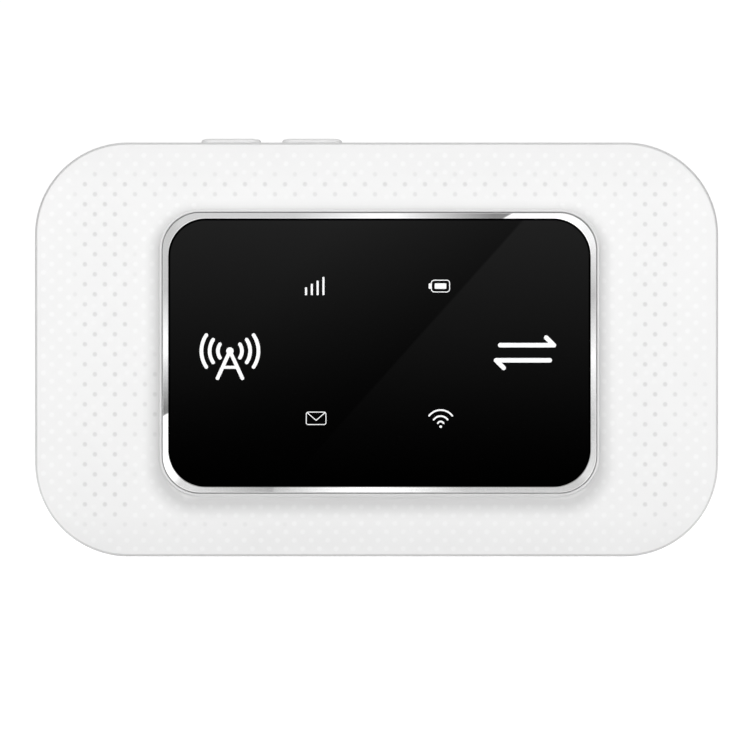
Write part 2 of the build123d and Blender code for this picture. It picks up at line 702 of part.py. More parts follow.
def reset_switch():
    """A small top-pushed tact switch under the reset hole."""
    body = block(RESET_X, RESET_Z, 3.0, 3.0, BOARD_BACK, BOARD_BACK + 1.0, 0.4)
    return body - disc(RESET_X, RESET_Z, 0.75, BOARD_BACK + 0.3, BOARD_BACK + 2)


def reset_plunger():
    """The round plunger of the reset switch."""
    return disc(RESET_X, RESET_Z, 0.7, BOARD_BACK + 0.6, BOARD_BACK + 1.35)


# ---------------------------------------------------------------- sockets
def usb_shell():
    """The folded steel shell of the charging socket."""
    plane = Plane.XY.offset(SOCKET_MOUTH)
    shell = extrude(plane * socket_profile(-TOUCH_GAP), SOCKET_LENGTH)
    inside = extrude(plane.offset(-CUT_PAST) * socket_profile(-SOCKET_SKIN), SOCKET_LENGTH + CUT_PAST - 0.5)
    return shell - inside


def usb_tongue():
    """The socket's plastic tongue and back block."""
    back_plane = Plane.XY.offset(SOCKET_MOUTH + SOCKET_LENGTH - 0.9)
    back_block = extrude(back_plane * socket_profile(-SOCKET_SKIN - TOUCH_GAP), 0.4)
    y = BOARD_BACK + 0.95
    tongue = Plane.XY.offset(SOCKET_MOUTH + 0.6) * Pos(SOCKET_X, y) * Rectangle(3.9, 0.6)
    return back_block + extrude(tongue, SOCKET_LENGTH - 1.3)


def usb_contacts():
    """Five contact strips on the back face of the tongue."""
    strips = []
    for index in range(5):
        x = SOCKET_X + (index - 2) * 0.65
        plane = Plane.XY.offset(SOCKET_MOUTH + 0.8) * Pos(x, BOARD_BACK + 1.25 + 0.06)
        strips.append(extrude(plane * Rectangle(0.35, 0.1), SOCKET_LENGTH - 1.9))
    return group(strips)


def card_shape(width, length, cut):
    """A card's outline with one corner cut off."""
    half_w, half_l = width / 2, length / 2
    points = [
        (-half_w, -half_l),
        (half_w, -half_l),
        (half_w, half_l - cut),
        (half_w - cut, half_l),
        (-half_w, half_l),
        (-half_w, -half_l),
    ]
    return make_face(Polyline(*points))


def sim_card():
    """The subscriber card, lying in its socket."""
    outline = Pos(SIM_X, SIM_BOTTOM + SIM_LENGTH / 2) * card_shape(SIM_WIDTH, SIM_LENGTH, SIM_CORNER_CUT)
    return slab(outline, CARD_FRONT, CARD_FRONT + SIM_THICKNESS)


def sim_socket():
    """A low metal cage over a plastic base; the card slides in from above."""
    top = SIM_BOTTOM + SIM_LENGTH - 3.0
    bottom = SIM_BOTTOM - 1.0
    z, height = (top + bottom) / 2, top - bottom
    cage = block(SIM_X, z, SIM_WIDTH + 2.0, height, BOARD_BACK, CARD_FRONT + SIM_THICKNESS + 0.3)
    slot_z = (SIM_BOTTOM - SLIDE_GAP + top + 1) / 2
    slot_height = top + 1 - SIM_BOTTOM + SLIDE_GAP
    slot_front, slot_back = CARD_FRONT - 0.08, CARD_FRONT + SIM_THICKNESS + 0.08
    cage -= block(SIM_X, slot_z, SIM_WIDTH + 2 * SLIDE_GAP, slot_height, slot_front, slot_back)
    finger = block(SIM_X, top, SIM_WIDTH - 3.0, 5.0, CARD_FRONT + 0.3, CARD_FRONT + 3, 1.5)
    return cage - finger


def sd_socket():
    """The memory-card cage above the subscriber card."""
    skin, slot_width, slot_shift = 0.25, 11.2, 1.0
    cage = block(SIM_X, SD_Z, SD_WIDTH, SD_HEIGHT, BOARD_BACK, BOARD_BACK + SD_THICKNESS)
    slot_back = BOARD_BACK + SD_THICKNESS - skin
    return cage - block(SIM_X, SD_Z - slot_shift, slot_width, SD_HEIGHT, CARD_FRONT, slot_back)


# ---------------------------------------------------------------- battery
def contact_heights():
    """The Z of each battery contact."""
    return [CONTACT_Z + (index - (CONTACT_COUNT - 1) / 2) * CONTACT_PITCH for index in range(CONTACT_COUNT)]


def battery_pack():
    """The lithium cell in its wrap."""
    width, height = CELL_RIGHT - CELL_CAP - CELL_LEFT, CELL_TOP - CELL_BOTTOM
    cell = block(CELL_LEFT + width / 2, CONTACT_Z, width, height, CELL_FRONT, CELL_BACK, 1.0)
    rims = cell.faces().sort_by(Axis.Y)[0].edges() + cell.faces().sort_by(Axis.Y)[-1].edges()
    return fillet(rims, 0.6)


def battery_cap():
    """The plastic end cap that holds the battery's protection board and pads."""
    height = CELL_TOP - CELL_BOTTOM
    cap = block(CELL_RIGHT - CELL_CAP / 2, CONTACT_Z, CELL_CAP, height, CELL_FRONT, CELL_BACK)
    cap = fillet(cap.faces().sort_by(Axis.X)[-1].edges(), 0.5)
    for z in contact_heights():
        recess_back = PAD_Y + PAD_LENGTH / 2
        cap -= block(CELL_RIGHT, z, 2 * PAD_RECESS, PAD_HEIGHT, CELL_FRONT - CUT_PAST, recess_back)
    return cap


def battery_pads():
    """Four gold pads in the end cap's recesses, which are open to the front for the blades."""
    x = CELL_RIGHT - PAD_RECESS + PAD_SKIN / 2
    return group(Pos(x, PAD_Y, z) * Box(PAD_SKIN, PAD_LENGTH, PAD_HEIGHT) for z in contact_heights())


def battery_connector():
    """The contact block on the board, facing the battery's pads."""
    left, right = CONNECTOR_LEFT, CONNECTOR_RIGHT
    body = block((left + right) / 2, CONTACT_Z, right - left, CONNECTOR_HEIGHT, BOARD_BACK, DECK_BACK)
    for z in contact_heights():
        slot_left, slot_right = left - CUT_PAST, right - BLADE_WALL
        slot_x, slot_width = (slot_left + slot_right) / 2, slot_right - slot_left
        body -= block(slot_x, z, slot_width, 0.9, PAD_Y - 0.8, PAD_Y + 0.8)
    return body


def battery_blades():
    """Four sprung blades, each a root plate, an arm and a round tip that meets a pad."""
    root_x = CONNECTOR_RIGHT - BLADE_WALL - BLADE_ROOT / 2
    tip_x = CELL_RIGHT - PAD_RECESS + PAD_SKIN + BLADE_GAP + BLADE_TIP
    blades = []
    for z in contact_heights():
        root = Pos(root_x, PAD_Y, z) * Box(BLADE_ROOT, 1.2, BLADE_WIDTH)
        arm = Pos((root_x + tip_x) / 2, PAD_Y, z) * Box(root_x - tip_x, 0.2, BLADE_WIDTH)
        tip = Pos(tip_x, PAD_Y, z) * Cylinder(BLADE_TIP, BLADE_WIDTH)
        blades.append(root + arm + tip)
    return group(blades)


# ---------------------------------------------------------------- antennas
def film(x, z, width, height):
    """A strip of antenna film on the back of the deck."""
    return block(x, z, width, height, DECK_BACK, DECK_BACK + FILM)


def main_antenna():
    """A copper film at the right end, with a slot between its two arms."""
    front, back = DECK_BACK - CUT_PAST, DECK_BACK + CUT_PAST
    slot = block(MAIN_PIN[0] + 0.35, CENTRE_Z + 5, 0.3, 20.0, front, back)
    return film(MAIN_PIN[0], CENTRE_Z, 1.6, 34.0) - slot


def second_antenna():
    """A copper film at the left end: a comb of four bars on one spine."""
    x, z = SECOND_PIN
    comb = film(x, CENTRE_Z - 2, 1.0, 26.0)
    for index in range(4):
        comb += film(x + 1.6, CENTRE_Z - 14 + index * 7.0, 4.2, 1.2)
    return comb


def wifi_antenna():
    """A copper film at the top edge: two long bars joined at one end."""
    x, z = WIFI_PIN
    bar_length, bar_height, rise = 9.0, 0.9, 1.9
    middle = x + bar_length / 2 - 0.6
    joint = film(x + bar_length - 1.0, z + rise / 2, 0.8, rise)
    return film(middle, z, bar_length, bar_height) + film(middle, z + rise, bar_length, bar_height) + joint


def antenna_pins():
    """Three sprung pins, each a barrel and a plunger, between the board and an antenna."""
    pins = []
    shoulder = BOARD_BACK + PIN_BARREL_HEIGHT
    for x, z in (MAIN_PIN, SECOND_PIN, WIFI_PIN):
        barrel = disc(x, z, PIN_BARREL, BOARD_BACK, shoulder)
        pins.append(barrel + disc(x, z, PIN_TIP, shoulder, DECK_BACK))
    return group(pins)


def case_screws():
    """The screws that clamp the chassis to the front shell."""
    screws = []
    top = SCREW_SEAT + SCREW_HEAD
    for x, z in SCREW_SPOTS:
        head = disc(x, z, SCREW_HEAD_RADIUS, SCREW_SEAT, top)
        shank = disc(x, z, SCREW_RADIUS, SCREW_TIP, SCREW_SEAT)
        for turn in (0, 90):
            cross = Pos(x, z) * Rot(0, 0, turn) * Rectangle(1.5, 0.35)
            head -= slab(cross, top - 0.4, top + CUT_PAST)
        screws.append(head + shank)
    return group(screws)


# ---------------------------------------------------------------- all nodes
def icon_solid(outline):
    """One printed icon, set flush into the window's front."""
    return slab(outline, WINDOW_FRONT, WINDOW_FRONT + ICON_DEPTH)


def thermal_pad():
    """A soft pad that carries heat from the modem's lid to the chassis."""
    x, z, width, height = MODEM_SPOT
    return block(x, z, width - 8, height - 8, SHIELD_BACK, CHASSIS_FRONT)


def all_nodes():
    """Every node's name and shape."""
    nodes = {
        "front_cover": front_cover(),
        "back_cover": back_cover(),
        "mid_frame": mid_frame(),
        "bezel_ring": bezel_ring(),
        "window_panel": window_panel(),
        "window_adhesive": window_adhesive(),
        "light_guides": light_guides(),
        "light_baffle": light_baffle(),
        "status_leds": status_leds(),
        "main_board": main_board(),
        "modem_shield": shield_can(MODEM_SPOT),
        "radio_shield": shield_can(RADIO_SPOT),
        "thermal_pad": thermal_pad(),
        "amplifier_chips": amplifier_chips(),
        "board_passives": board_passives(),
        "inductors": inductors(),
        "power_button": button_cap(POWER_X),
        "pairing_button": button_cap(PAIRING_X),
        "power_switch": side_switch(POWER_X),
        "pairing_switch": side_switch(PAIRING_X),
        "power_plunger": side_plunger(POWER_X),
        "pairing_plunger": side_plunger(PAIRING_X),
        "reset_switch": reset_switch(),
        "reset_plunger": reset_plunger(),
        "usb_shell": usb_shell(),
        "usb_tongue": usb_tongue(),
        "usb_contacts": usb_contacts(),
        "sim_socket": sim_socket(),
        "sim_card": sim_card(),
        "sd_socket": sd_socket(),
        "battery_pack": battery_pack(),
        "battery_cap": battery_cap(),
        "battery_pads": battery_pads(),
        "battery_connector": battery_connector(),
        "battery_blades": battery_blades(),
        "main_antenna": main_antenna(),
        "second_antenna": second_antenna(),
        "wifi_antenna": wifi_antenna(),
        "antenna_pins": antenna_pins(),
        "case_screws": case_screws(),
    }
    for name, spot in CHIPS.items():
        nodes[name] = chip(*spot)
    for name, outline in ICON_OUTLINES.items():
        nodes[name] = icon_solid(outline)
    return nodes


def main():
    os.makedirs(OUT, exist_ok=True)
    for name, shape in all_nodes().items():
        export_step(shape, os.path.join(OUT, name + ".step"))


main()
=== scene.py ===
"""The looks of a pocket mobile hotspot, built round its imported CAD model.

+X is to the right, +Y is towards the battery door and +Z is up, towards the two buttons.
Lengths are in millimetres until mesh_object() scales a finished mesh to Blender's metres.
"""

import json
import math

import bmesh
import bpy
from mathutils import Matrix, Vector
from mathutils.geometry import delaunay_2d_cdt


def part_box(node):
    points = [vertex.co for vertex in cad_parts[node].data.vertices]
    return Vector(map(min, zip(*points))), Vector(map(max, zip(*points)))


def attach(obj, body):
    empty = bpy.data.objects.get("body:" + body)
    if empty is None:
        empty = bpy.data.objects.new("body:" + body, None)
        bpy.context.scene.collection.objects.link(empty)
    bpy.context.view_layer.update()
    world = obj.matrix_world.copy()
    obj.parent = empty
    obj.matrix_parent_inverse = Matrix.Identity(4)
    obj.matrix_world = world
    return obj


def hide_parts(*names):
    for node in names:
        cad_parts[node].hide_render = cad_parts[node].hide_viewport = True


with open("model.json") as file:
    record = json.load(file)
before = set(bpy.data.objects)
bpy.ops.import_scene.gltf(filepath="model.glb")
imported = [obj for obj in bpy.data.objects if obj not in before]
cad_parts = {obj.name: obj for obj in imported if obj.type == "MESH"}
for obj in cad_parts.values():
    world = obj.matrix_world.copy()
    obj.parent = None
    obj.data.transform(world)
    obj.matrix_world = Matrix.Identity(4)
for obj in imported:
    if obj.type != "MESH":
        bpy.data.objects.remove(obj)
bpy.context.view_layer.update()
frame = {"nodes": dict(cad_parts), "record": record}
MM = 0.001
rebuilt = []


def box_mm(node):
    """A CAD node's lowest and highest corners in millimetres."""
    low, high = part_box(node)
    return low / MM, high / MM


def middle(low, high):
    """The middle of a box in X and Z."""
    return (low.x + high.x) / 2, (low.z + high.z) / 2


# ---- sizes, most of them read from the frame
cover_low, cover_high = box_mm("front_cover")
door_low, door_high = box_mm("back_cover")
bezel_low, bezel_high = box_mm("bezel_ring")

CASE_WIDTH = door_high.x - door_low.x
CASE_HEIGHT = door_high.z - door_low.z
CENTRE_Z = CASE_HEIGHT / 2
CASE_CORNER = 13.5
CASE_BACK = door_high.y
PARTING = cover_high.y
WALL = 1.4

FACE_FRONT = -6.2
CAVITY_FRONT = -4.8
COLLAR_FRONT = cover_low.y
POCKET_FLOOR = bezel_high.y + 0.02
EDGE_RADIUS = 0.35
EDGE_SWEEP = math.radians(86)
NOSE_DEPTH = 1.5
NOSE_INSET = NOSE_DEPTH * math.tan(math.radians(6))
CROWN_DROP = 0.2
CROWN_RUN = 7.0
SEAM_ROUND = 0.2

BEZEL_X, BEZEL_Z = middle(bezel_low, bezel_high)
BEZEL_WIDTH = bezel_high.x - bezel_low.x
BEZEL_HEIGHT = bezel_high.z - bezel_low.z
BEZEL_CORNER = 5.4
BEZEL_BAND = 0.82
BEZEL_ROUND = 0.07
WINDOW_CORNER = 5.45
COLLAR_GAP = 0.12
COLLAR_OUTSIDE = COLLAR_GAP + 0.35

DOOR_FLOOR = 5.75
DOOR_RADIUS = 2.4
DOOR_WALL = CASE_BACK - DOOR_FLOOR

CORNER_STEPS = 28
ROUND_STEPS = 8
MERGE_GAP = 0.0005
SHARP_TURN = math.radians(28)


# ---- outlines
def rounded_rectangle(x, z, width, height, corner, steps=CORNER_STEPS):
    """Points of a rounded rectangle, anticlockwise."""
    points = []
    for quadrant, (side_x, side_z) in enumerate(((1, 1), (-1, 1), (-1, -1), (1, -1))):
        centre_x = x + side_x * (width / 2 - corner)
        centre_z = z + side_z * (height / 2 - corner)
        for step in range(steps + 1):
            angle = (quadrant + step / steps) * math.pi / 2
            points.append((centre_x + corner * math.cos(angle), centre_z + corner * math.sin(angle)))
    return points


def case_outline(inset):
    """The case's outline, shrunk by inset."""
    width, height = CASE_WIDTH - 2 * inset, CASE_HEIGHT - 2 * inset
    return rounded_rectangle(0, CENTRE_Z, width, height, CASE_CORNER - inset)


def bezel_outline(grow, corner):
    """The chrome frame's outline, grown by grow, with its own corner radius."""
    return rounded_rectangle(BEZEL_X, BEZEL_Z, BEZEL_WIDTH + 2 * grow, BEZEL_HEIGHT + 2 * grow, corner)


def slot_outline(x, y, length, depth):
    """Points of a round-ended slot."""
    return rounded_rectangle(x, y, length, depth, depth / 2 - MERGE_GAP, ROUND_STEPS * 2)


def circle(x, z, radius, steps=32):
    """Points of a circle."""
    turn = 2 * math.pi / steps
    return [(x + radius * math.cos(turn * i), z + radius * math.sin(turn * i)) for i in range(steps)]


def depth_inside(x, z, centre_x, centre_z, width, height, corner):
    """How far a point lies inside a rounded rectangle; negative outside it."""
    across = abs(x - centre_x) - (width / 2 - corner)
    up = abs(z - centre_z) - (height / 2 - corner)
    outside = math.hypot(max(across, 0), max(up, 0))
    return corner - outside - min(max(across, up), 0)


def case_depth(x, z):
    """How far a point lies inside the case's outline."""
    return depth_inside(x, z, 0, CENTRE_Z, CASE_WIDTH, CASE_HEIGHT, CASE_CORNER)


def bezel_distance(x, z):
    """How far a point lies outside the chrome frame's outline."""
    return -depth_inside(x, z, BEZEL_X, BEZEL_Z, BEZEL_WIDTH, BEZEL_HEIGHT, BEZEL_CORNER)


def quarter_round(radius, steps=ROUND_STEPS):
    """Pairs (in, out) round a quarter circle: in grows from 0 to radius while out falls to 0."""
    angles = [step / steps * math.pi / 2 for step in range(steps + 1)]
    return [(radius * (1 - math.cos(angle)), radius * (1 - math.sin(angle))) for angle in angles]


# ---- meshes
def add_ring(mesh, outline, depth, upright=False):
    """Vertices for an outline in X and Z at a depth, or in X and Y at a height if upright."""
    if upright:
        return [mesh.verts.new((x, y, depth)) for x, y in outline]
    if callable(depth):
        return [mesh.verts.new((x, depth(x, z), z)) for x, z in outline]
    return [mesh.verts.new((x, depth, z)) for x, z in outline]


def case_rings(mesh, profile):
    """Rings of the case's outline, one for each (inset, depth)."""
    return [add_ring(mesh, case_outline(inset), depth) for inset, depth in profile]


def join_rings(mesh, first, second):
    """Quads between two rings of equal count."""
    count = len(first)
    for index in range(count):
        after = (index + 1) % count
        mesh.faces.new((first[index], first[after], second[after], second[index]))


def skin(mesh, rings, closed=False):
    """Quads along a list of rings; closed joins the last ring to the first."""
    for first, second in zip(rings, rings[1:]):
        join_rings(mesh, first, second)
    if closed:
        join_rings(mesh, rings[-1], rings[0])


def solid(sections, upright=False):
    """A closed solid through outlines of equal count, each given with its depth or height."""
    mesh = bmesh.new()
    rings = [add_ring(mesh, outline, depth, upright) for outline, depth in sections]
    skin(mesh, rings)
    mesh.faces.new(rings[0])
    mesh.faces.new(rings[-1])
    return mesh


def tidy_mesh(mesh):
    """Merges touching vertices and turns every face outwards."""
    bmesh.ops.remove_doubles(mesh, verts=mesh.verts, dist=MERGE_GAP)
    bmesh.ops.recalc_face_normals(mesh, faces=mesh.faces)


def mesh_data(name, mesh):
    """Stores a finished mesh and frees the working copy."""
    data = bpy.data.meshes.new(name)
    mesh.to_mesh(data)
    mesh.free()
    return data


def placed(name, data):
    """A new object in the scene."""
    piece = bpy.data.objects.new(name, data)
    bpy.context.scene.collection.objects.link(piece)
    return piece


def merge(meshes):
    """Several meshes in one."""
    result = bmesh.new()
    for mesh in meshes:
        data = mesh_data("scratch", mesh)
        result.from_mesh(data)
        bpy.data.meshes.remove(data)
    return result


def scratch_object(mesh):
    """A temporary object in millimetres, for booleans."""
    tidy_mesh(mesh)
    return placed("scratch", mesh_data("scratch", mesh))


def combine(mesh, changes):
    """Applies booleans, given as (operation, mesh) pairs, and returns the resulting mesh."""
    body = scratch_object(mesh)
    scratch = [body]
    for operation, tool_mesh in changes:
        tool = scratch_object(tool_mesh)
        scratch.append(tool)
        modifier = body.modifiers.new("combine", "BOOLEAN")
        modifier.operation = operation
        modifier.solver = "EXACT"
        modifier.object = tool
    bpy.context.view_layer.update()
    evaluated = body.evaluated_get(bpy.context.evaluated_depsgraph_get())
    result = bmesh.new()
    result.from_mesh(evaluated.to_mesh())
    evaluated.to_mesh_clear()
    for piece in scratch:
        data = piece.data
        bpy.data.objects.remove(piece)
        bpy.data.meshes.remove(data)
    bmesh.ops.remove_doubles(result, verts=result.verts, dist=MERGE_GAP)
    return result


def mesh_object(name, mesh):
    """An object in metres, smooth except along sharp edges."""
    tidy_mesh(mesh)
    for face in mesh.faces:
        face.smooth = True
    for edge in mesh.edges:
        edge.smooth = len(edge.link_faces) == 2 and edge.calc_face_angle(0) < SHARP_TURN
    data = mesh_data(name, mesh)
    data.transform(Matrix.Scale(MM, 4))
    return placed(name, data)


def show(piece, body, node, slot):
    """Puts a rebuilt piece on its body in place of its CAD node, and notes its finish."""
    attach(piece, body)
    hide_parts(node)
    rebuilt.append((piece, slot))


def node_parts(node):
    """The low and high corners, in millimetres, of a CAD node's separate solids."""
    mesh = bmesh.new()
    mesh.from_mesh(frame["nodes"][node].data)
    bmesh.ops.remove_doubles(mesh, verts=mesh.verts, dist=1e-7)
    boxes = []
    waiting = set(mesh.verts)
    while waiting:
        group = [waiting.pop()]
        for vertex in group:
            for edge in vertex.link_edges:
                other = edge.other_vert(vertex)
                if other in waiting:
                    waiting.remove(other)
                    group.append(other)
        ends = [[pick(vertex.co[axis] for vertex in group) for axis in range(3)] for pick in (min, max)]
        boxes.append([Vector(end) / MM for end in ends])
    mesh.free()
    return sorted(boxes, key=lambda pair: tuple(pair[0]))


# ---- the dotted face
FACE_EDGE = NOSE_INSET + EDGE_RADIUS * 0.93
GREY_PITCH = 2.912
GREY_PHASE = Vector((-42.46, CENTRE_Z + 24.05))
GREY_RADIUS = 0.43
GREY_STRONG = 0.3
GREY_FAINT = 0.1
GREY_SINK = 0.035
# The middle of each side's column of dots, and how far from it they start and stop fading
GREY_LEFT = (-39.7, 2.6, 5.4)
GREY_RIGHT = (40.2, 1.8, 4.6)
# The bands and the patch, as heights over the centre; each span is where dots start and stop fading
GREY_BAND = 23.8
BAND_STRENGTH = 0.85
BAND_FADE = (0.4, 3.0)
BAND_END = (42.3, 44.9)
COLUMN_END = (24.4, 27.0)
LOW_FADE = (22, 26)
FAINT_BAND = -25.7
FAINT_STRENGTH = 0.35
FAINT_FADE = (0.4, 1.75)
FAINT_END = (-22, -4)
PATCH_LEVEL = -7.0
PATCH_STRENGTH = 0.75
PATCH_EDGE = (43, 46.5)
PATCH_REACH = (3.5, 9)
DOT_GAP = 0.03
WHITE_PITCH = 2.436
WHITE_PHASE = Vector((33.10, CENTRE_Z + 27.04))
WHITE_RADIUS = 0.46
WHITE_RISE = 0.02
DOT_RINGS = ((1.0, 12, 0.0), (0.8, 12, 0.4), (0.5, 8, 0.9), (0.0, 1, 1.0))
COLLAR_FOOT = COLLAR_OUTSIDE + 0.15


def rising(span, value):
    """0 below a span, 1 above it and an S-curve between."""
    low, high = span
    share = min(max((value - low) / (high - low), 0), 1)
    return share * share * (3 - 2 * share)


def falling(span, value):
    """1 below a span, 0 above it and an S-curve between."""
    return 1 - rising(span, value)


def crown(x, z):
    """The face's depth at a point: flat, and falling away gently near the case's edge."""
    share = 1 - (case_depth(x, z) - FACE_EDGE) / (CROWN_RUN - FACE_EDGE)
    return FACE_FRONT + CROWN_DROP * max(share, 0) ** 2


def grey_strength(x, z):
    """How dark a grey dot is: columns at the sides, a band above, and faint patches below and right."""
    up = z - CENTRE_Z
    centre, *fade = GREY_RIGHT if x > 0 else GREY_LEFT
    column = falling(fade, abs(x - centre)) * falling(COLUMN_END, abs(up))
    if x > centre:
        patch = PATCH_STRENGTH - 0.4 * rising(PATCH_EDGE, x)
        column = max(column, patch * falling(PATCH_REACH, abs(up - PATCH_LEVEL)))
    if up > 0:
        band = BAND_STRENGTH * falling(BAND_FADE, abs(up - GREY_BAND))
    else:
        column *= 1 - 0.5 * rising(LOW_FADE, -up)
        band = FAINT_STRENGTH * falling(FAINT_FADE, abs(up - FAINT_BAND)) * falling(FAINT_END, x)
    return max(column, band * falling(BAND_END, abs(x)))


def white_strength(x, z):
    """How bright a white dot is: less among the grey ones."""
    return 1 - 0.6 * rising((0.05, 0.5), grey_strength(x, z))


def lattice(phase, pitch):
    """Centres of a lattice of diamonds over the whole case."""
    centres = []
    columns = round(CASE_WIDTH / pitch) + 2
    rows = round(2 * CASE_HEIGHT / pitch) + 2
    for row in range(-rows, rows + 1):
        shift = pitch / 2 if row % 2 else 0
        for column in range(-columns, columns + 1):
            x = phase.x + column * pitch + shift
            z = phase.y + row * pitch / 2
            if abs(x) < CASE_WIDTH / 2 and 0 < z < CASE_HEIGHT:
                centres.append((x, z))
    return centres


def add_dots(dots, wanted):
    """Adds the dots of one kind that lie on the face and clear of every dot already there."""
    others = list(dots)
    for dot in wanted:
        x, z, radius = dot[:3]
        gaps = [math.hypot(x - other[0], z - other[1]) - radius - other[2] for other in others]
        on_face = case_depth(x, z) > FACE_EDGE + radius and bezel_distance(x, z) > COLLAR_FOOT + radius
        if on_face and min(gaps, default=1) > DOT_GAP:
            dots.append(dot)


def face_dots():
    """Every dot as (x, z, radius, grey, white): strong grey first, then white, then faint grey."""
    greys = [(x, z, GREY_RADIUS, grey_strength(x, z), 0.0) for x, z in lattice(GREY_PHASE, GREY_PITCH)]
    whites = [(x, z, WHITE_RADIUS, 0.0, white_strength(x, z)) for x, z in lattice(WHITE_PHASE, WHITE_PITCH)]
    dots = []
    add_dots(dots, [dot for dot in greys if dot[3] > GREY_STRONG])
    add_dots(dots, whites)
    add_dots(dots, [dot for dot in greys if GREY_FAINT < dot[3] <= GREY_STRONG])
    return dots


def dotted_face():
    """The face between the case's edge and the collar, with sunken grey and raised white dots."""
    outer = case_outline(FACE_EDGE)
    inner = bezel_outline(COLLAR_FOOT, BEZEL_CORNER + COLLAR_FOOT)
    flat = [Vector(point) for point in outer + inner]
    marks = [(0.0, 0.0, 0.0)] * len(flat)
    for x, z, radius, grey, white in face_dots():
        for share, count, height in DOT_RINGS:
            for px, pz in circle(x, z, share * radius, count):
                flat.append(Vector((px, pz)))
                rise = (GREY_SINK * grey - WHITE_RISE * white) * height
                marks.append((rise, grey * height, white * height))
    first, count = len(outer), len(inner)
    hole = [(first + i, first + (i + 1) % count) for i in range(count)]
    points, _, faces, sources, _, _ = delaunay_2d_cdt(flat, hole, [list(range(first))], 1, 1e-6, True)
    mesh = bmesh.new()
    grey_layer = mesh.verts.layers.float.new("grey_dot")
    white_layer = mesh.verts.layers.float.new("white_dot")
    vertices = []
    for point, source in zip(points, sources):
        rise, grey, white = marks[source[0]]
        vertex = mesh.verts.new((point.x, crown(point.x, point.y) + rise, point.y))
        vertex[grey_layer] = grey
        vertex[white_layer] = white
        vertices.append(vertex)
    for face in faces:
        centre = sum((points[index] for index in face), Vector((0, 0))) / len(face)
        if bezel_distance(*centre) > COLLAR_FOOT - 0.01:
            mesh.faces.new([vertices[index] for index in face])
    loose = [vertex for vertex in mesh.verts if not vertex.link_faces]
    bmesh.ops.delete(mesh, geom=loose, context="VERTS")
    return mesh


# ---- front shell
BOSS_RADIUS = 1.9
BOSS_FOOT_RADIUS = 2.7
BOARD_FRONT = box_mm("main_board")[0].y
CHASSIS_FRONT = box_mm("mid_frame")[0].y
SCREW_HOLE = 0.83
BUTTONS = ("power_button", "pairing_button")
BUTTON_Y = -1.2
BUTTON_LENGTH = 8.7
BUTTON_DEPTH = 2.7
BUTTON_GAP = 0.12
BUTTON_CROWN = 0.1
BUTTON_ROUND = 0.45
FLANGE_DROP = 0.75
FLANGE_THICKNESS = 0.65
STEM_LENGTH = 2.4
STEM_DEPTH = 1.2
SOCKET_GAP = 0.28
SOCKET_CUT = 0.7
LAMP_ROOM = 0.2
SMALL_CORNER = 0.15


def shell_rings(mesh):
    """The front shell's rings, from the face's edge round the rim and into the cavity."""
    edge_centre = FACE_FRONT + CROWN_DROP + EDGE_RADIUS
    profile = [(FACE_EDGE, crown)]
    for step in range(1, ROUND_STEPS + 1):
        angle = EDGE_SWEEP * (1 - step / ROUND_STEPS)
        inset = NOSE_INSET + EDGE_RADIUS * (1 - math.cos(angle))
        profile.append((inset, edge_centre - EDGE_RADIUS * math.sin(angle)))
    profile += [(0, FACE_FRONT + NOSE_DEPTH), (0, PARTING - SEAM_ROUND)]
    profile += [(0.06, PARTING - 0.06), (SEAM_ROUND, PARTING)]
    profile += [(WALL - 0.1, PARTING), (WALL, PARTING - 0.1)]
    profile += [(WALL + start, CAVITY_FRONT + rest) for start, rest in quarter_round(0.5, 4)]
    return case_rings(mesh, profile)


def collar_rings(mesh):
    """The raised lip round the chrome frame, from its foot to the pocket's floor."""
    outside, inside = COLLAR_OUTSIDE, COLLAR_GAP
    profile = [(COLLAR_FOOT, crown), (outside + 0.05, FACE_FRONT - 0.03), (outside, FACE_FRONT - 0.12)]
    edge = ((0, 0.10), (0.03, 0.03), (0.10, 0))
    profile += [(outside - start, COLLAR_FRONT + rest) for start, rest in edge]
    profile += [(inside + start, COLLAR_FRONT + rest) for start, rest in reversed(edge)]
    profile.append((inside, POCKET_FLOOR))
    return [add_ring(mesh, bezel_outline(grow, BEZEL_CORNER + grow), depth) for grow, depth in profile]


def plain_shell():
    """The front shell as a closed mesh with a plain face."""
    mesh = bmesh.new()
    shell, collar = shell_rings(mesh), collar_rings(mesh)
    skin(mesh, shell)
    skin(mesh, collar)
    join_rings(mesh, collar[0], shell[0])
    mesh.faces.new(shell[-1])
    mesh.faces.new(collar[-1])
    return mesh


def socket_mouth():
    """The charging socket's opening in X and Y, with two corners cut on the battery side."""
    low, high = box_mm("usb_shell")
    left, right = low.x - SOCKET_GAP, high.x + SOCKET_GAP
    front, back = low.y - SOCKET_GAP, high.y + SOCKET_GAP
    slope = [(right, back - SOCKET_CUT), (right - SOCKET_CUT, back)]
    slope += [(left + SOCKET_CUT, back), (left, back - SOCKET_CUT)]
    return [(left, front), (right, front)] + slope


def shell_cuts():
    """What is cut from the front shell: lamp openings, button slots and the socket's mouth."""
    cuts = []
    for low, high in node_parts("light_guides"):
        width, height = high.x - low.x + LAMP_ROOM, high.z - low.z + LAMP_ROOM
        outline = rounded_rectangle(*middle(low, high), width, height, SMALL_CORNER, 4)
        cuts.append(solid([(outline, POCKET_FLOOR - 0.5), (outline, CAVITY_FRONT + 0.5)]))
    for node in BUTTONS:
        length, depth = BUTTON_LENGTH + 2 * BUTTON_GAP, BUTTON_DEPTH + 2 * BUTTON_GAP
        outline = slot_outline(middle(*box_mm(node))[0], BUTTON_Y, length, depth)
        cuts.append(solid([(outline, CASE_HEIGHT - WALL - 1), (outline, CASE_HEIGHT + 1)], upright=True))
    mouth = socket_mouth()
    cuts.append(solid([(mouth, -1), (mouth, WALL + 1)], upright=True))
    return merge(cuts)


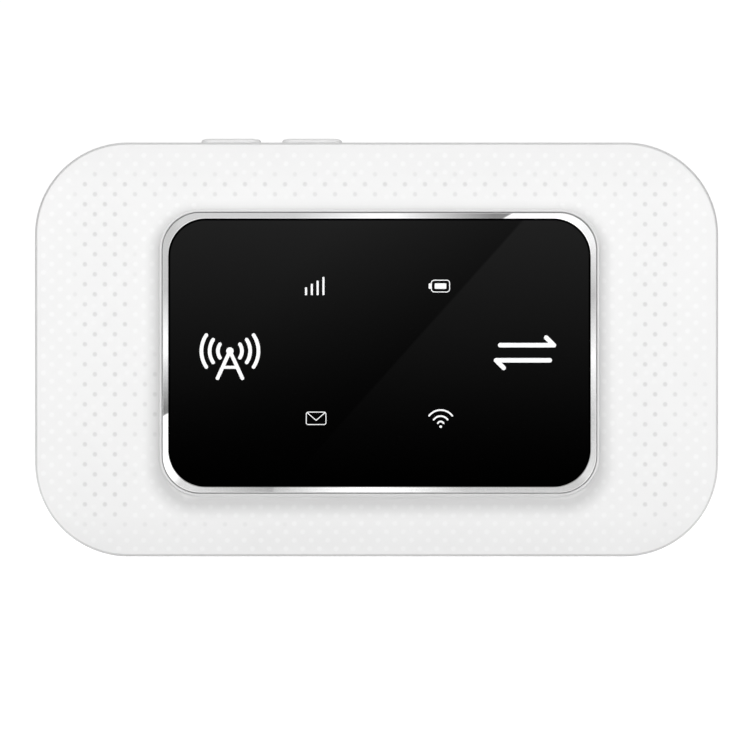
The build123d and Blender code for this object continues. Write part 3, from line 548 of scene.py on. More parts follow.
def shell_bosses():
    """The six screw bosses that rise from the front shell's floor, cut off at its outline."""
    profile = [(BOSS_FOOT_RADIUS, CAVITY_FRONT - 0.2), (BOSS_FOOT_RADIUS, BOARD_FRONT)]
    profile += [(BOSS_RADIUS, BOARD_FRONT), (BOSS_RADIUS, CHASSIS_FRONT - 0.1)]
    profile += [(BOSS_RADIUS - 0.1, CHASSIS_FRONT), (SCREW_HOLE + 0.1, CHASSIS_FRONT)]
    profile += [(SCREW_HOLE, CHASSIS_FRONT - 0.1), (SCREW_HOLE, CAVITY_FRONT + 0.1)]
    bosses = []
    for low, high in node_parts("case_screws"):
        x, z = middle(low, high)
        bosses.append(solid([(circle(x, z, radius), depth) for radius, depth in profile]))
    limit = case_outline(0.4)
    return combine(merge(bosses), [("INTERSECT", solid([(limit, COLLAR_FRONT), (limit, PARTING)]))])


def is_plain_face(face):
    """Whether a mesh face belongs to the plain front face."""
    x, y, z = face.calc_center_median()
    shallow = y < FACE_FRONT + CROWN_DROP + 0.01
    return shallow and case_depth(x, z) > FACE_EDGE and bezel_distance(x, z) > COLLAR_FOOT


def front_shell():
    """The front shell, with its dotted face put in after the cuts."""
    shell = combine(plain_shell(), [("UNION", shell_bosses()), ("DIFFERENCE", shell_cuts())])
    bmesh.ops.delete(shell, geom=[face for face in shell.faces if is_plain_face(face)], context="FACES")
    piece = mesh_object("front_shell", merge([dotted_face(), shell]))
    show(piece, "case", "front_cover", "case_white")


# ---- battery door
CLIP_SPOTS = {"top": (-28.0, 30.0), "bottom": (-20.0, 32.0), "left": (20.0, 40.0), "right": (18.0, 42.0)}
CLIP_LENGTH = 5.6
CLIP_THICKNESS = 0.9
CLIP_REACH = 2.0
CLIP_GAP = 0.15
CLIP_TAPER = 0.3
DOOR_SEAM = PARTING + 0.02
NOTCH_LENGTH = 11.0
NOTCH_WIDTH = 1.6
NOTCH_SINK = 0.7
NOTCH_CORNER = 0.79
ARROW = 2.4
ARROW_INSET = 7.0
ARROW_SINK = 0.2


def door_tray():
    """The door as a closed tray with rounded edges inside and out."""
    outer = [(WALL - 0.08, DOOR_SEAM), (SEAM_ROUND, DOOR_SEAM)]
    outer += [(0.06, DOOR_SEAM + 0.06), (0, DOOR_SEAM + SEAM_ROUND)]
    outer += [(start, CASE_BACK - rest) for start, rest in quarter_round(DOOR_RADIUS, 14)]
    inner = [(WALL, DOOR_SEAM + 0.08)]
    for start, rest in quarter_round(DOOR_RADIUS - DOOR_WALL, 6):
        inner.append((WALL + start, DOOR_FLOOR - rest))
    mesh = bmesh.new()
    outside, inside = case_rings(mesh, outer), case_rings(mesh, inner)
    skin(mesh, outside)
    skin(mesh, inside)
    join_rings(mesh, inside[0], outside[0])
    mesh.faces.new(outside[-1])
    mesh.faces.new(inside[-1])
    return mesh


def door_lip():
    """The low rib inside the door's edge that carries the clips."""
    mesh = bmesh.new()
    root, inside = WALL - 0.3, WALL + CLIP_GAP + CLIP_THICKNESS
    low, high = PARTING + 0.3, PARTING + 1.5
    profile = ((root, low), (inside - 0.1, low), (inside, low + 0.1))
    profile += ((inside, high - 0.1), (inside - 0.1, high), (root, high))
    skin(mesh, case_rings(mesh, profile), closed=True)
    return mesh


def door_clip(place, side):
    """A clip that reaches into the front shell, with a slim rounded tip."""
    sign = 1 if side in ("right", "top") else -1
    inset = WALL + CLIP_GAP + CLIP_THICKNESS / 2
    x, z = place, CENTRE_Z + sign * (CASE_HEIGHT / 2 - inset)
    width, height = CLIP_LENGTH, CLIP_THICKNESS
    if side in ("left", "right"):
        x, z = sign * (CASE_WIDTH / 2 - inset), place
        width, height = height, width
    full = rounded_rectangle(x, z, width, height, SMALL_CORNER, 4)
    slim = rounded_rectangle(x, z, width - CLIP_TAPER, height - CLIP_TAPER, SMALL_CORNER, 4)
    tip = PARTING - CLIP_REACH
    return solid([(slim, tip), (full, tip + CLIP_TAPER), (full, PARTING + 0.6)])


def door_cuts():
    """The fingernail notch on the right edge and the arrow on the back."""
    outline = rounded_rectangle(PARTING + 0.1, CENTRE_Z, NOTCH_WIDTH, NOTCH_LENGTH, NOTCH_CORNER, 8)
    notch = solid([(outline, CASE_WIDTH / 2 - NOTCH_SINK), (outline, CASE_WIDTH / 2 + 1)])
    for vertex in notch.verts:
        vertex.co.x, vertex.co.y = vertex.co.y, vertex.co.x
    tip = CASE_WIDTH / 2 - ARROW_INSET + ARROW * math.sqrt(3) / 3
    tail = tip - ARROW * math.sqrt(3) / 2
    triangle = [(tip, CENTRE_Z), (tail, CENTRE_Z + ARROW / 2), (tail, CENTRE_Z - ARROW / 2)]
    return merge([notch, solid([(triangle, CASE_BACK - ARROW_SINK), (triangle, CASE_BACK + 1)])])


def door_shell():
    """The battery door."""
    clips = [door_clip(place, side) for side, places in CLIP_SPOTS.items() for place in places]
    steps = [("UNION", door_lip()), ("UNION", merge(clips)), ("DIFFERENCE", door_cuts())]
    mesh = combine(door_tray(), steps)
    show(mesh_object("door_shell", mesh), "back_cover", "back_cover", "door_white")


# ---- chrome frame and buttons
def chrome_frame():
    """The chrome frame: a band swept round the window, with rounded front edges."""
    mesh = bmesh.new()
    front, back = bezel_low.y, bezel_high.y
    edge = quarter_round(BEZEL_ROUND, 6)
    hold = BEZEL_ROUND + 0.02
    profile = [(0, front + hold)] + [(start, front + rest) for start, rest in edge]
    profile += [(hold, front), (BEZEL_BAND - hold, front)]
    profile += [(BEZEL_BAND - start, front + rest) for start, rest in reversed(edge)]
    profile.append((BEZEL_BAND, front + hold))
    profile += [(BEZEL_BAND, back - 0.05), (BEZEL_BAND - 0.05, back), (0.05, back), (0, back - 0.05)]
    rings = []
    for inset, depth in profile:
        corner = BEZEL_CORNER + (WINDOW_CORNER - BEZEL_CORNER) * inset / BEZEL_BAND
        rings.append(add_ring(mesh, bezel_outline(-inset, corner), depth))
    skin(mesh, rings, closed=True)
    show(mesh_object("chrome_frame", mesh), "case", "bezel_ring", "bezel_chrome")


def button_cap(node):
    """A button: a pillowed cap in the slot, a flange behind the wall and a stem over the switch."""
    low, high = box_mm(node)
    x = middle(low, high)[0]
    length, depth = high.x - low.x, high.y - low.y
    flange_low = CASE_HEIGHT - WALL - FLANGE_DROP
    flange_high = flange_low + FLANGE_THICKNESS
    shoulder = high.z - BUTTON_CROWN
    steps = [(length - 0.1, depth - 0.1, flange_low), (length, depth, flange_low + 0.05)]
    steps += [(length, depth, flange_high), (BUTTON_LENGTH, BUTTON_DEPTH, flange_high)]
    rounding = [(start, shoulder - rest) for start, rest in quarter_round(BUTTON_ROUND)]
    for step in (1, 2, 3):
        rounding.append((BUTTON_ROUND + 0.28 * step, high.z - BUTTON_CROWN * (1 - step / 3) ** 2))
    steps += [(BUTTON_LENGTH - 2 * inset, BUTTON_DEPTH - 2 * inset, height) for inset, height in rounding]
    body = [(slot_outline(x, BUTTON_Y, *size), height) for *size, height in steps]
    stem = rounded_rectangle(x, BUTTON_Y, STEM_LENGTH, STEM_DEPTH, SMALL_CORNER, 4)
    stem = solid([(stem, low.z), (stem, flange_low + 0.2)], upright=True)
    cap = combine(solid(body, upright=True), [("UNION", stem)])
    show(mesh_object(node + "_cap", cap), node, node, "button_white")


# ---- materials
# Directions are (X, Y, Z) factors on the position; SOCKETS holds the shader inputs with short names
finishes = {}
EVERY_WAY = (1, 1, 1)
SEEN_SQUARE = (1, 0, 1)
SOCKETS = {"color": "Base Color", "specular": "Specular IOR Level"}


def opaque(color):
    """A colour, or one number for a grey, with full opacity."""
    return (*color, 1) if isinstance(color, tuple) else (color, color, color, 1)


def shade(color, level):
    """A colour made darker or lighter."""
    return tuple(channel * level for channel in color)


class Graph:
    """A node tree being built."""

    def __init__(self, tree):
        self.tree = tree

    def feed(self, socket, value):
        """Links an output, or sets a number, a vector, a colour or a grey."""
        if isinstance(value, bpy.types.NodeSocket):
            self.tree.links.new(value, socket)
        elif socket.type == "RGBA":
            socket.default_value = opaque(value)
        else:
            socket.default_value = value

    def add(self, kind, inputs=(), **settings):
        """Adds a node, with its settings and its numbered or named inputs."""
        node = self.tree.nodes.new("ShaderNode" + kind)
        for setting, value in settings.items():
            setattr(node, setting, value)
        for socket, value in dict(inputs).items():
            self.feed(node.inputs[socket], value)
        return node

    def math(self, operation, *values):
        """One arithmetic step."""
        return self.add("Math", enumerate(values), operation=operation).outputs[0]

    def range(self, value, low, high, to_low=0.0, to_high=1.0, kind="LINEAR"):
        """Maps a range of values to another and clamps."""
        inputs = enumerate((value, low, high, to_low, to_high))
        return self.add("MapRange", inputs, interpolation_type=kind).outputs[0]

    def ramp(self, value, *stops):
        """A colour ramp through (position, colour) stops."""
        node = self.add("ValToRGB", {0: value})
        elements = node.color_ramp.elements
        while len(elements) < len(stops):
            elements.new(0.5)
        for element, (position, color) in zip(elements, stops):
            element.position = position
            element.color = opaque(color)
        return node.outputs[0]

    def tones(self, value, *stops):
        """A grey that runs through (value, tone) stops."""
        first, last = stops[0][0], stops[-1][0]
        shares = [((place - first) / (last - first), tone) for place, tone in stops]
        return self.ramp(self.range(value, first, last), *shares)

    def mix(self, share, first, second, blend="MIX"):
        """Mixes two colours."""
        inputs = {0: share, 6: first, 7: second}
        return self.add("Mix", inputs, data_type="RGBA", blend_type=blend).outputs[2]


class Look(Graph):
    """A finish being built. Positions are in millimetres from the object's origin."""

    def __init__(self, name, color, roughness, metallic=0.0):
        material = bpy.data.materials.new(name)
        material.use_nodes = True
        finishes[name] = material
        super().__init__(material.node_tree)
        self.shader = self.tree.nodes["Principled BSDF"]
        metres = self.add("TexCoord").outputs["Object"]
        self.point = self.vector("MULTIPLY", metres, (1 / MM, 1 / MM, 1 / MM))
        self.set(color=color, roughness=roughness, metallic=metallic)

    def set(self, **inputs):
        """Feeds the main shader."""
        for name, value in inputs.items():
            socket = SOCKETS.get(name, name.replace("_", " ").title())
            self.feed(self.shader.inputs[socket], value)

    def fed(self, name):
        """What feeds one of the main shader's inputs so far."""
        return self.shader.inputs[name].links[0].from_socket

    def vector(self, operation, *values, output=0):
        """One vector step."""
        return self.add("VectorMath", enumerate(values), operation=operation).outputs[output]

    def axis(self, name):
        """One coordinate of the position."""
        return self.add("SeparateXYZ", {0: self.point}).outputs[name]

    def normal_y(self):
        """How far the surface faces the back (1) or the front (-1)."""
        normal = self.add("NewGeometry").outputs["Normal"]
        return self.add("SeparateXYZ", {0: normal}).outputs["Y"]

    def noise(self, scale, detail=3.0, stretch=EVERY_WAY):
        """Noise with a given number of features per millimetre."""
        place = self.vector("MULTIPLY", self.point, stretch)
        return self.add("TexNoise", {"Vector": place, "Scale": scale, "Detail": detail}).outputs[0]

    def cloud(self, low, high, scale, *shape):
        """Noise spread between two values."""
        return self.range(self.noise(scale, *shape), 0.3, 0.7, low, high)

    def cells(self, scale, stretch=EVERY_WAY, randomness=1.0, output=0, distance="EUCLIDEAN"):
        """A cellular pattern: the distance to each cell's middle, or its own colour as output 1."""
        place = self.vector("MULTIPLY", self.point, stretch)
        inputs = {"Vector": place, "Scale": scale, "Randomness": randomness}
        return self.add("TexVoronoi", inputs, distance=distance).outputs[output]

    def outside_frame(self, grow, corner, rise=0.0):
        """How far a point lies outside the chrome frame's outline, grown or moved up."""
        core = (BEZEL_WIDTH / 2 + grow - corner, 0, BEZEL_HEIGHT / 2 + grow - corner)
        centred = self.vector("SUBTRACT", self.point, (BEZEL_X, 0, BEZEL_Z + rise))
        folded = self.vector("ABSOLUTE", self.vector("MULTIPLY", centred, SEEN_SQUARE))
        beyond = self.vector("MAXIMUM", self.vector("SUBTRACT", folded, core), (0, 0, 0))
        return self.math("SUBTRACT", self.vector("LENGTH", beyond, output="Value"), corner)

    def beyond_line(self, start, end, softness):
        """How far a point lies below a slanted line through two (X, Z) points, and 1 where it does."""
        slope = (end[1] - start[1]) / (end[0] - start[0])
        line = self.math("MULTIPLY_ADD", self.axis("X"), slope, start[1] - slope * start[0])
        below = self.math("SUBTRACT", line, self.axis("Z"))
        return below, self.range(below, -softness, softness)

    def apart(self, value, centre):
        """How far a value lies from a centre, either way."""
        return self.math("ABSOLUTE", self.math("SUBTRACT", value, centre))

    def bump(self, height, distance, strength, normal=None):
        """A normal bumped by a height in millimetres."""
        inputs = {"Height": height, "Distance": distance * MM, "Strength": strength}
        if normal is not None:
            inputs["Normal"] = normal
        return self.add("Bump", inputs).outputs[0]

    def soft_edges(self, radius):
        """A normal that rounds sharp edges by a small radius."""
        return self.add("Bevel", {"Radius": radius * MM}, samples=4).outputs[0]

    def darken(self, *layers):
        """Darkens the colour by each layer in turn."""
        color = self.fed("Base Color")
        for layer in layers:
            color = self.mix(1.0, color, layer, "MULTIPLY")
        self.set(color=color)


def moulded_plastic(name, color, roughness, grain, fineness):
    """Moulded plastic: an even colour with slight clouding, and a fine grain."""
    look = Look(name, color, roughness)
    look.set(
        color=look.mix(look.cloud(0, 1, 0.35), shade(color, 0.82), color),
        roughness=look.cloud(roughness - 0.06, roughness + 0.06, fineness / 3),
        normal=look.bump(look.noise(fineness), grain, 0.6, look.soft_edges(0.06)),
    )
    return look


def brushed_metal(name, color, roughness, along=(0.15, 1, 6), edge=0.05):
    """Sheet metal with fine lines along one direction and a few dull patches."""
    look = Look(name, color, roughness, 1.0)
    lines = look.noise(5, 4, along)
    look.set(
        color=look.mix(look.range(lines, 0.35, 0.65), shade(color, 0.72), color),
        roughness=look.cloud(roughness - 0.08, roughness + 0.1, 0.5),
        normal=look.bump(lines, 0.01, 0.35, look.soft_edges(edge)),
    )
    return look


WHITE = (0.863, 0.862, 0.862)
WHITE_DOT = 0.898
GREY_DOT = 0.81
# Painted shade on the collar round the frame, and how far down the painted shadow round the frame is moved
PAINTED_COLLAR_SHADE = 0.84
SHADOW_DROP = 0.95
# The tone painted on the chrome's outer rim, part of its painted reflection
PAINTED_CHROME_RIM = 0.86
# The strength of the window's painted sheen
WINDOW_SHEEN = 0.18


def white_plastic(name, roughness, grain, fineness):
    """The case's white plastic: nearly even, with a fine grain that only shows close up."""
    look = Look(name, WHITE, roughness)
    look.set(
        color=look.mix(look.cloud(0, 1, 0.08, 2), shade(WHITE, 0.985), WHITE),
        roughness=look.cloud(roughness - 0.04, roughness + 0.04, 2.0),
        normal=look.bump(look.noise(fineness), grain, 0.5),
    )
    return look


def case_white():
    """White plastic with printed dots, and painted shade: a soft shadow round the raised frame, a darker
    collar, darkening towards the foot and the top, and a darker rim where it turns sideways.
    """
    look = white_plastic("case_white", 0.36, 0.004, 12)
    grey = look.add("Attribute", attribute_name="grey_dot").outputs["Fac"]
    white = look.add("Attribute", attribute_name="white_dot").outputs["Fac"]
    look.set(color=look.mix(look.range(white, 0.0, 0.8), look.fed("Base Color"), WHITE_DOT))
    dots = look.range(grey, 0.0, 0.9, 1.0, GREY_DOT)
    height = look.axis("Z")
    # Painted shadow round the raised frame: moved down, reaching further below and less far above, as light
    # from above would cast it
    stretch = look.range(height, CENTRE_Z - 18, CENTRE_Z + 18, 0.85, 1.02)
    distance = look.outside_frame(COLLAR_OUTSIDE, BEZEL_CORNER, -SHADOW_DROP)
    distance = look.math("MULTIPLY", distance, stretch)
    painted_shadow = look.tones(
        distance, (-0.8, 1.0), (-0.3, 0.71), (0.25, 0.715), (0.95, 0.84), (1.7, 0.96), (2.3, 1.0)
    )
    from_collar = look.outside_frame(COLLAR_OUTSIDE, BEZEL_CORNER)
    # The collar is painted a darker shade as well
    painted_shadow = look.mix(look.range(from_collar, 0.0, 0.05), PAINTED_COLLAR_SHADE, painted_shadow)
    # Painted shade: the face darkens towards its foot and a little towards its top
    fade = look.tones(height, (1.5, 0.915), (6, 0.972), (14, 0.995), (26, 1.0), (53, 1.0), (60, 0.95))
    # Painted shade on the rim: the colour darkens where the surface turns sideways, except on and near the
    # collar
    facing = look.math("ABSOLUTE", look.normal_y())
    rounding = look.tones(facing, (0.12, 1.0), (0.25, 0.8), (0.84, 0.8), (0.97, 1.0))
    rounding = look.mix(look.range(from_collar, 0.5, 0.8), 1.0, rounding)
    look.darken(dots, painted_shadow, fade, rounding)


def door_white():
    """The door's finer matt grain, with painted shade on the floor of the sunk arrow."""
    look = white_plastic("door_white", 0.42, 0.008, 7)
    # Painted shade: back-facing surfaces sunk below the door's back, the arrow's floor, are darkened
    painted_arrow_shade = look.range(look.axis("Y"), CASE_BACK - 0.15, CASE_BACK - 0.05, 0.75, 1.0)
    backward = look.range(look.normal_y(), 0.97, 0.99)
    look.darken(look.mix(backward, 1.0, painted_arrow_shade))


def button_white():
    """The buttons' satin finish, with painted shade low on them where they meet the case."""
    look = white_plastic("button_white", 0.33, 0.004, 12)
    # Painted shade: darker towards where the buttons come out of the case
    look.darken(look.range(look.axis("Z"), CASE_HEIGHT - 0.2, CASE_HEIGHT + 0.6, 0.84, 1.0))
    look.set(coat_weight=0.1, coat_roughness=0.3)


def bezel_chrome():
    """Bright plating with a painted reflection: its tone runs along each side and breaks on one straight
    slanted line.
    """
    look = Look("bezel_chrome", 0.9, 0.07, 1.0)
    x, z = look.axis("X"), look.axis("Z")
    rise = look.math("SUBTRACT", z, BEZEL_Z)
    _, past_line = look.beyond_line((-30.8, BEZEL_Z - 9.03), (19.3, BEZEL_Z + 20.07), 0.12)
    # Painted reflection: each side runs through its own tones and turns white past the slanted line
    top = look.tones(x, (-12, 0.81), (-1, 1.0), (3, 1.0), (17, 0.53))
    left = look.tones(rise, (-8.03, 0.49), (-0.03, 1.0), (2.47, 1.0), (8.97, 0.77))
    top, left = look.mix(past_line, top, 1.0), look.mix(past_line, left, 1.0)
    right = look.tones(rise, (-9.03, 0.77), (-0.53, 1.0), (8.37, 0.74), (16.47, 0.96))
    bottom = look.tones(x, (-27, 0.74), (-15.3, 0.58), (-14.7, 0.66), (-3, 0.94), (1, 0.94), (13, 0.68))
    lead = look.math("SUBTRACT", look.math("ABSOLUTE", rise), look.apart(x, BEZEL_X))
    square = (BEZEL_HEIGHT - BEZEL_WIDTH) / 2
    on_long_side = look.range(lead, square - 1.5, square + 1.5, kind="SMOOTHSTEP")
    tall = look.mix(look.range(x, -1, 1), left, right)
    wide = look.mix(look.range(rise, -1, 1), bottom, top)
    tone = look.mix(on_long_side, tall, wide)
    # The outer rim is painted its own tone, also part of the painted reflection
    rim = look.range(look.outside_frame(0.0, BEZEL_CORNER), -0.1, -0.03)
    tone = look.mix(rim, tone, PAINTED_CHROME_RIM)
    light = look.add("Gamma", {"Color": tone, "Gamma": 2.2}).outputs[0]
    dust = look.range(look.noise(14, 2), 0.45, 0.8, 0, 0.04)
    look.set(
        color=look.mix(dust, light, 0.5),
        roughness=look.cloud(0.05, 0.08, 3),
        normal=look.bump(look.noise(1.2), 0.0008, 0.3),
    )


def window_black():
    """Piano black with a painted sheen: its strength, set by position, fades downwards and darkens towards
    a slanted edge.
    """
    look = Look("window_black", 0.0005, 0.03)
    side, past_line = look.beyond_line((-13.4, BEZEL_Z - 19.53), (21.5, BEZEL_Z + 19.47), 0.25)
    sheen = look.mix(past_line, look.range(side, -30, 0, 1.0, 0.52), 1.0)
    rise = look.math("SUBTRACT", look.axis("Z"), BEZEL_Z)
    fade = look.math("POWER", look.range(rise, -19.0, 19.0), 1.5)
    rim = look.range(look.outside_frame(-BEZEL_BAND, WINDOW_CORNER), -0.34, -0.24, 1.0, 0.0)
    # Painted sheen: the reflection's strength is set by position, not by the lamps alone
    level = look.math("MULTIPLY", look.math("MULTIPLY", sheen, fade), rim)
    look.set(
        color=look.ramp(look.noise(20, 2), (0.4, 0.0), (0.7, 0.0008)),
        specular=look.math("MULTIPLY", level, WINDOW_SHEEN),
        roughness=look.cloud(0.02, 0.04, 2),
        normal=look.bump(look.noise(0.25), 0.004, 0.15),
    )


def icon_white():
    """Screen-printed white, with a faint painted glow."""
    look = Look("icon_white", 0.9, 0.45)
    tone = look.ramp(look.cloud(0.94, 1.0, 10), (0, 0.0), (1, (0.92, 0.925, 0.93)))
    grainy = look.bump(look.noise(12), 0.003, 0.4)
    # The print's emission is a painted glow; no lamp behind it
    look.set(color=tone, emission_color=tone, emission_strength=0.08, normal=grainy)


def tape():
    """Black foam tape with a closed-cell texture."""
    look = Look("tape", 0.05, 0.85)
    foam = look.cells(6)
    look.set(color=look.ramp(foam, (0.1, 0.02), (0.7, 0.08)), normal=look.bump(foam, 0.04, 0.7))


def clear_guide():
    """Clear acrylic with faint moulding swirls."""
    look = Look("clear_guide", (0.95, 0.97, 0.98), 0.05)
    swirl = look.noise(0.8, 4)
    look.set(
        color=look.ramp(swirl, (0.3, (0.9, 0.94, 0.96)), (0.7, (0.97, 0.98, 0.99))),
        transmission_weight=0.85,
        roughness=look.range(swirl, 0.3, 0.7, 0.03, 0.12),
        normal=look.bump(swirl, 0.01, 0.3),
    )


def rubber(name, color, roughness):
    """Soft rubber with a dusty, slightly pitted skin."""
    look = Look(name, color, roughness)
    pits = look.cells(5)
    dust = look.noise(1.5, 5)
    light = tuple(channel * 1.5 + 0.01 for channel in color)
    look.set(
        color=look.mix(look.range(dust, 0.45, 0.75), color, light),
        roughness=look.range(dust, 0.3, 0.7, roughness - 0.1, roughness + 0.1),
        normal=look.bump(pits, 0.02, 0.5, look.soft_edges(0.08)),
    )
    return look


def led_body():
    """Pale lamp resin with a yellow phosphor cloud."""
    look = Look("led_body", (0.9, 0.88, 0.7), 0.3)
    cloud = look.noise(2.2, 3)
    look.set(
        color=look.ramp(cloud, (0.4, (0.93, 0.92, 0.85)), (0.6, (0.92, 0.8, 0.3))),
        normal=look.bump(cloud, 0.01, 0.3, look.soft_edges(0.06)),
    )


def board_green():
    """Solder mask over copper: parallel tracks, vias and bare gold pads."""
    look = Look("board_green", (0.02, 0.19, 0.1), 0.35)
    blocks = look.cells(0.12, SEEN_SQUARE, output=1, distance="MANHATTAN")
    turn = look.math("GREATER_THAN", look.add("SeparateXYZ", {0: blocks}).outputs[0], 0.5)
    across = look.math("SINE", look.math("MULTIPLY", look.axis("X"), 9))
    along = look.math("SINE", look.math("MULTIPLY", look.axis("Z"), 9))
    wave = look.add("Mix", {0: turn, 2: across, 3: along}).outputs[0]
    tracks = look.range(wave, 0.1, 0.45)
    vias = look.cells(0.42, SEEN_SQUARE)
    via_ring = look.math("MULTIPLY", look.range(vias, 0.16, 0.15), look.range(vias, 0.06, 0.07))
    mask = look.mix(tracks, (0.008, 0.1, 0.045), (0.02, 0.2, 0.09))
    gold = look.mix(look.noise(6), (0.75, 0.55, 0.2), (0.9, 0.72, 0.35))
    look.set(
        color=look.mix(via_ring, mask, gold),
        metallic=via_ring,
        roughness=look.cloud(0.28, 0.42, 4),
        normal=look.bump(look.math("MAXIMUM", tracks, via_ring), 0.03, 0.6),
        coat_weight=0.3,
    )


def shield_steel():
    """Tinned sheet with a grid of small vent holes pressed in it, painted dark as the shade inside them."""
    look = brushed_metal("shield_steel", (0.7, 0.71, 0.72), 0.32)
    grid = look.cells(0.4, SEEN_SQUARE, 0.0)
    # Painted shade: the vent holes are coloured nearly black
    look.set(
        color=look.mix(look.range(grid, 0.17, 0.15), look.fed("Base Color"), 0.03),
        normal=look.bump(look.range(grid, 0.2, 0.15, 1.0, 0.0), 0.12, 0.8, look.fed("Normal")),
    )


def thermal_grey():
    """Soft filled silicone with mineral specks."""
    look = rubber("thermal_grey", (0.34, 0.4, 0.44), 0.6)
    specks = look.range(look.cells(9), 0.2, 0.12)
    look.set(color=look.mix(specks, look.fed("Base Color"), (0.75, 0.78, 0.8)))


def passive_ceramic():
    """Tan ceramic bodies with clouded tinned ends."""
    look = Look("passive_ceramic", (0.48, 0.36, 0.24), 0.4)
    cloud = look.noise(3.5, 3)
    brown, tan, tinned = (0.36, 0.25, 0.15), (0.55, 0.42, 0.28), (0.75, 0.74, 0.72)
    look.set(
        color=look.ramp(cloud, (0.38, brown), (0.55, tan), (0.68, tinned)),
        metallic=look.range(cloud, 0.62, 0.7),
        normal=look.bump(cloud, 0.02, 0.4, look.soft_edges(0.06)),
    )


def contact_gold():
    """Gold plate with faint rolling lines."""
    look = brushed_metal("contact_gold", (0.85, 0.62, 0.28), 0.22, (1, 1, 0.2), 0.03)
    look.set(coat_weight=0.2)


def card_white():
    """Card plastic with a rounded gold contact area split by thin gaps."""
    look = Look("card_white", (0.92, 0.93, 0.94), 0.38)
    low, high = box_mm("sim_card")
    middle_x, middle_z = middle(low, high)
    across = look.apart(look.axis("X"), middle_x)
    up = look.math("SUBTRACT", look.axis("Z"), middle_z - 0.5)
    wide = look.range(across, 5.0, 4.9)
    tall = look.range(look.math("ABSOLUTE", up), 4.0, 3.9)
    front = look.range(look.axis("Y"), low.y + 0.3, low.y + 0.2)
    rows = look.math("PINGPONG", look.math("ADD", up, 10.0), 1.0)
    gap = look.range(rows, 0.05, 0.1)
    spine = look.range(across, 0.35, 0.45)
    plate = look.math("MULTIPLY", look.math("MULTIPLY", wide, tall), front)
    gold = look.math("MULTIPLY", plate, look.math("MINIMUM", gap, spine))
    paper = look.mix(look.cloud(0, 1, 0.6), (0.9, 0.91, 0.93), (0.8, 0.86, 0.93))
    look.set(
        color=look.mix(gold, paper, (0.85, 0.65, 0.3)),
        metallic=gold,
        roughness=look.cloud(0.25, 0.42, 5),
        normal=look.bump(gold, 0.02, 0.5),
    )


def battery_wrap():
    """Printed film over the cell: silver grey with a pale panel and plain ruled lines."""
    look = Look("battery_wrap", (0.62, 0.63, 0.65), 0.38)
    low, high = box_mm("battery_pack")
    x, z = look.axis("X"), look.axis("Z")
    middle_x, middle_z = middle(low, high)
    right, top = high.x - middle_x - 5.0, high.z - middle_z - 6.0
    wide = look.range(look.apart(x, middle_x), right, right - 0.1)
    tall = look.range(look.apart(z, middle_z), top, top - 0.1)
    panel = look.math("MULTIPLY", wide, tall)
    band = look.range(look.apart(z, high.z - 9.5), 1.6, 1.5)
    film = look.mix(look.cloud(0, 1, 1.2, 5, (1, 1, 0.1)), (0.5, 0.51, 0.53), (0.64, 0.65, 0.67))
    printed = look.mix(band, (0.84, 0.85, 0.86), (0.2, 0.28, 0.38))
    look.set(
        color=look.mix(panel, film, printed),
        metallic=look.math("MULTIPLY", look.math("SUBTRACT", 1.0, panel), 0.5),
        roughness=look.cloud(0.3, 0.44, 3),
        normal=look.bump(look.noise(0.7, 2), 0.03, 0.3, look.soft_edges(0.25)),
    )


def antenna_copper():
    """Copper film under a thin lacquer, with etched meander gaps."""
    look = brushed_metal("antenna_copper", (0.8, 0.42, 0.22), 0.3, (1, 1, 1), 0.02)
    stripes = look.math("PINGPONG", look.math("ADD", look.axis("Z"), 100), 0.9)
    gap = look.range(stripes, 0.12, 0.08)
    look.set(color=look.mix(gap, look.fed("Base Color"), (0.12, 0.06, 0.03)), coat_weight=0.5)


PLASTICS = {
    "chassis_black": ((0.035, 0.035, 0.038), 0.5, 0.02, 6),
    "chip_black": ((0.025, 0.025, 0.028), 0.55, 0.015, 10),
    "inductor_grey": ((0.09, 0.09, 0.095), 0.6, 0.03, 7),
    "plunger_black": ((0.03, 0.03, 0.03), 0.4, 0.008, 8),
    "socket_plastic": ((0.03, 0.03, 0.033), 0.42, 0.01, 8),
    "battery_cap_black": ((0.03, 0.03, 0.032), 0.45, 0.015, 6),
    "connector_black": ((0.028, 0.028, 0.03), 0.42, 0.01, 8),
}
METALS = {
    "crystal_metal": ((0.75, 0.74, 0.7), 0.25),
    "switch_steel": ((0.72, 0.72, 0.72), 0.28),
    "socket_steel": ((0.74, 0.74, 0.75), 0.24, (1, 1, 0.15)),
    "card_cage": ((0.74, 0.74, 0.75), 0.27, (6, 1, 0.15)),
    "screw_steel": ((0.55, 0.55, 0.56), 0.3, (4, 1, 4)),
}
SPECIALS = (case_white, door_white, button_white, icon_white, card_white, bezel_chrome, window_black)
SPECIALS += (tape, clear_guide, led_body, board_green, shield_steel, thermal_grey, passive_ceramic)
SPECIALS += (contact_gold, battery_wrap, antenna_copper)


def make_finishes():
    """Builds every finish that the pieces' slots name."""
    for make in SPECIALS:
        make()
    for name, values in PLASTICS.items():
        moulded_plastic(name, *values)
    for name, values in METALS.items():
        brushed_metal(name, *values)
    rubber("baffle_rubber", (0.025, 0.025, 0.025), 0.75)


def dress():
    """Gives every CAD node and every rebuilt piece the finish of its slot."""
    for part in frame["record"]["subparts"]:
        data = frame["nodes"][part["node"]].data
        data.materials.clear()
        data.materials.append(finishes[part["material_slot"]])
    for piece, slot in rebuilt:
        piece.data.materials.append(finishes[slot])


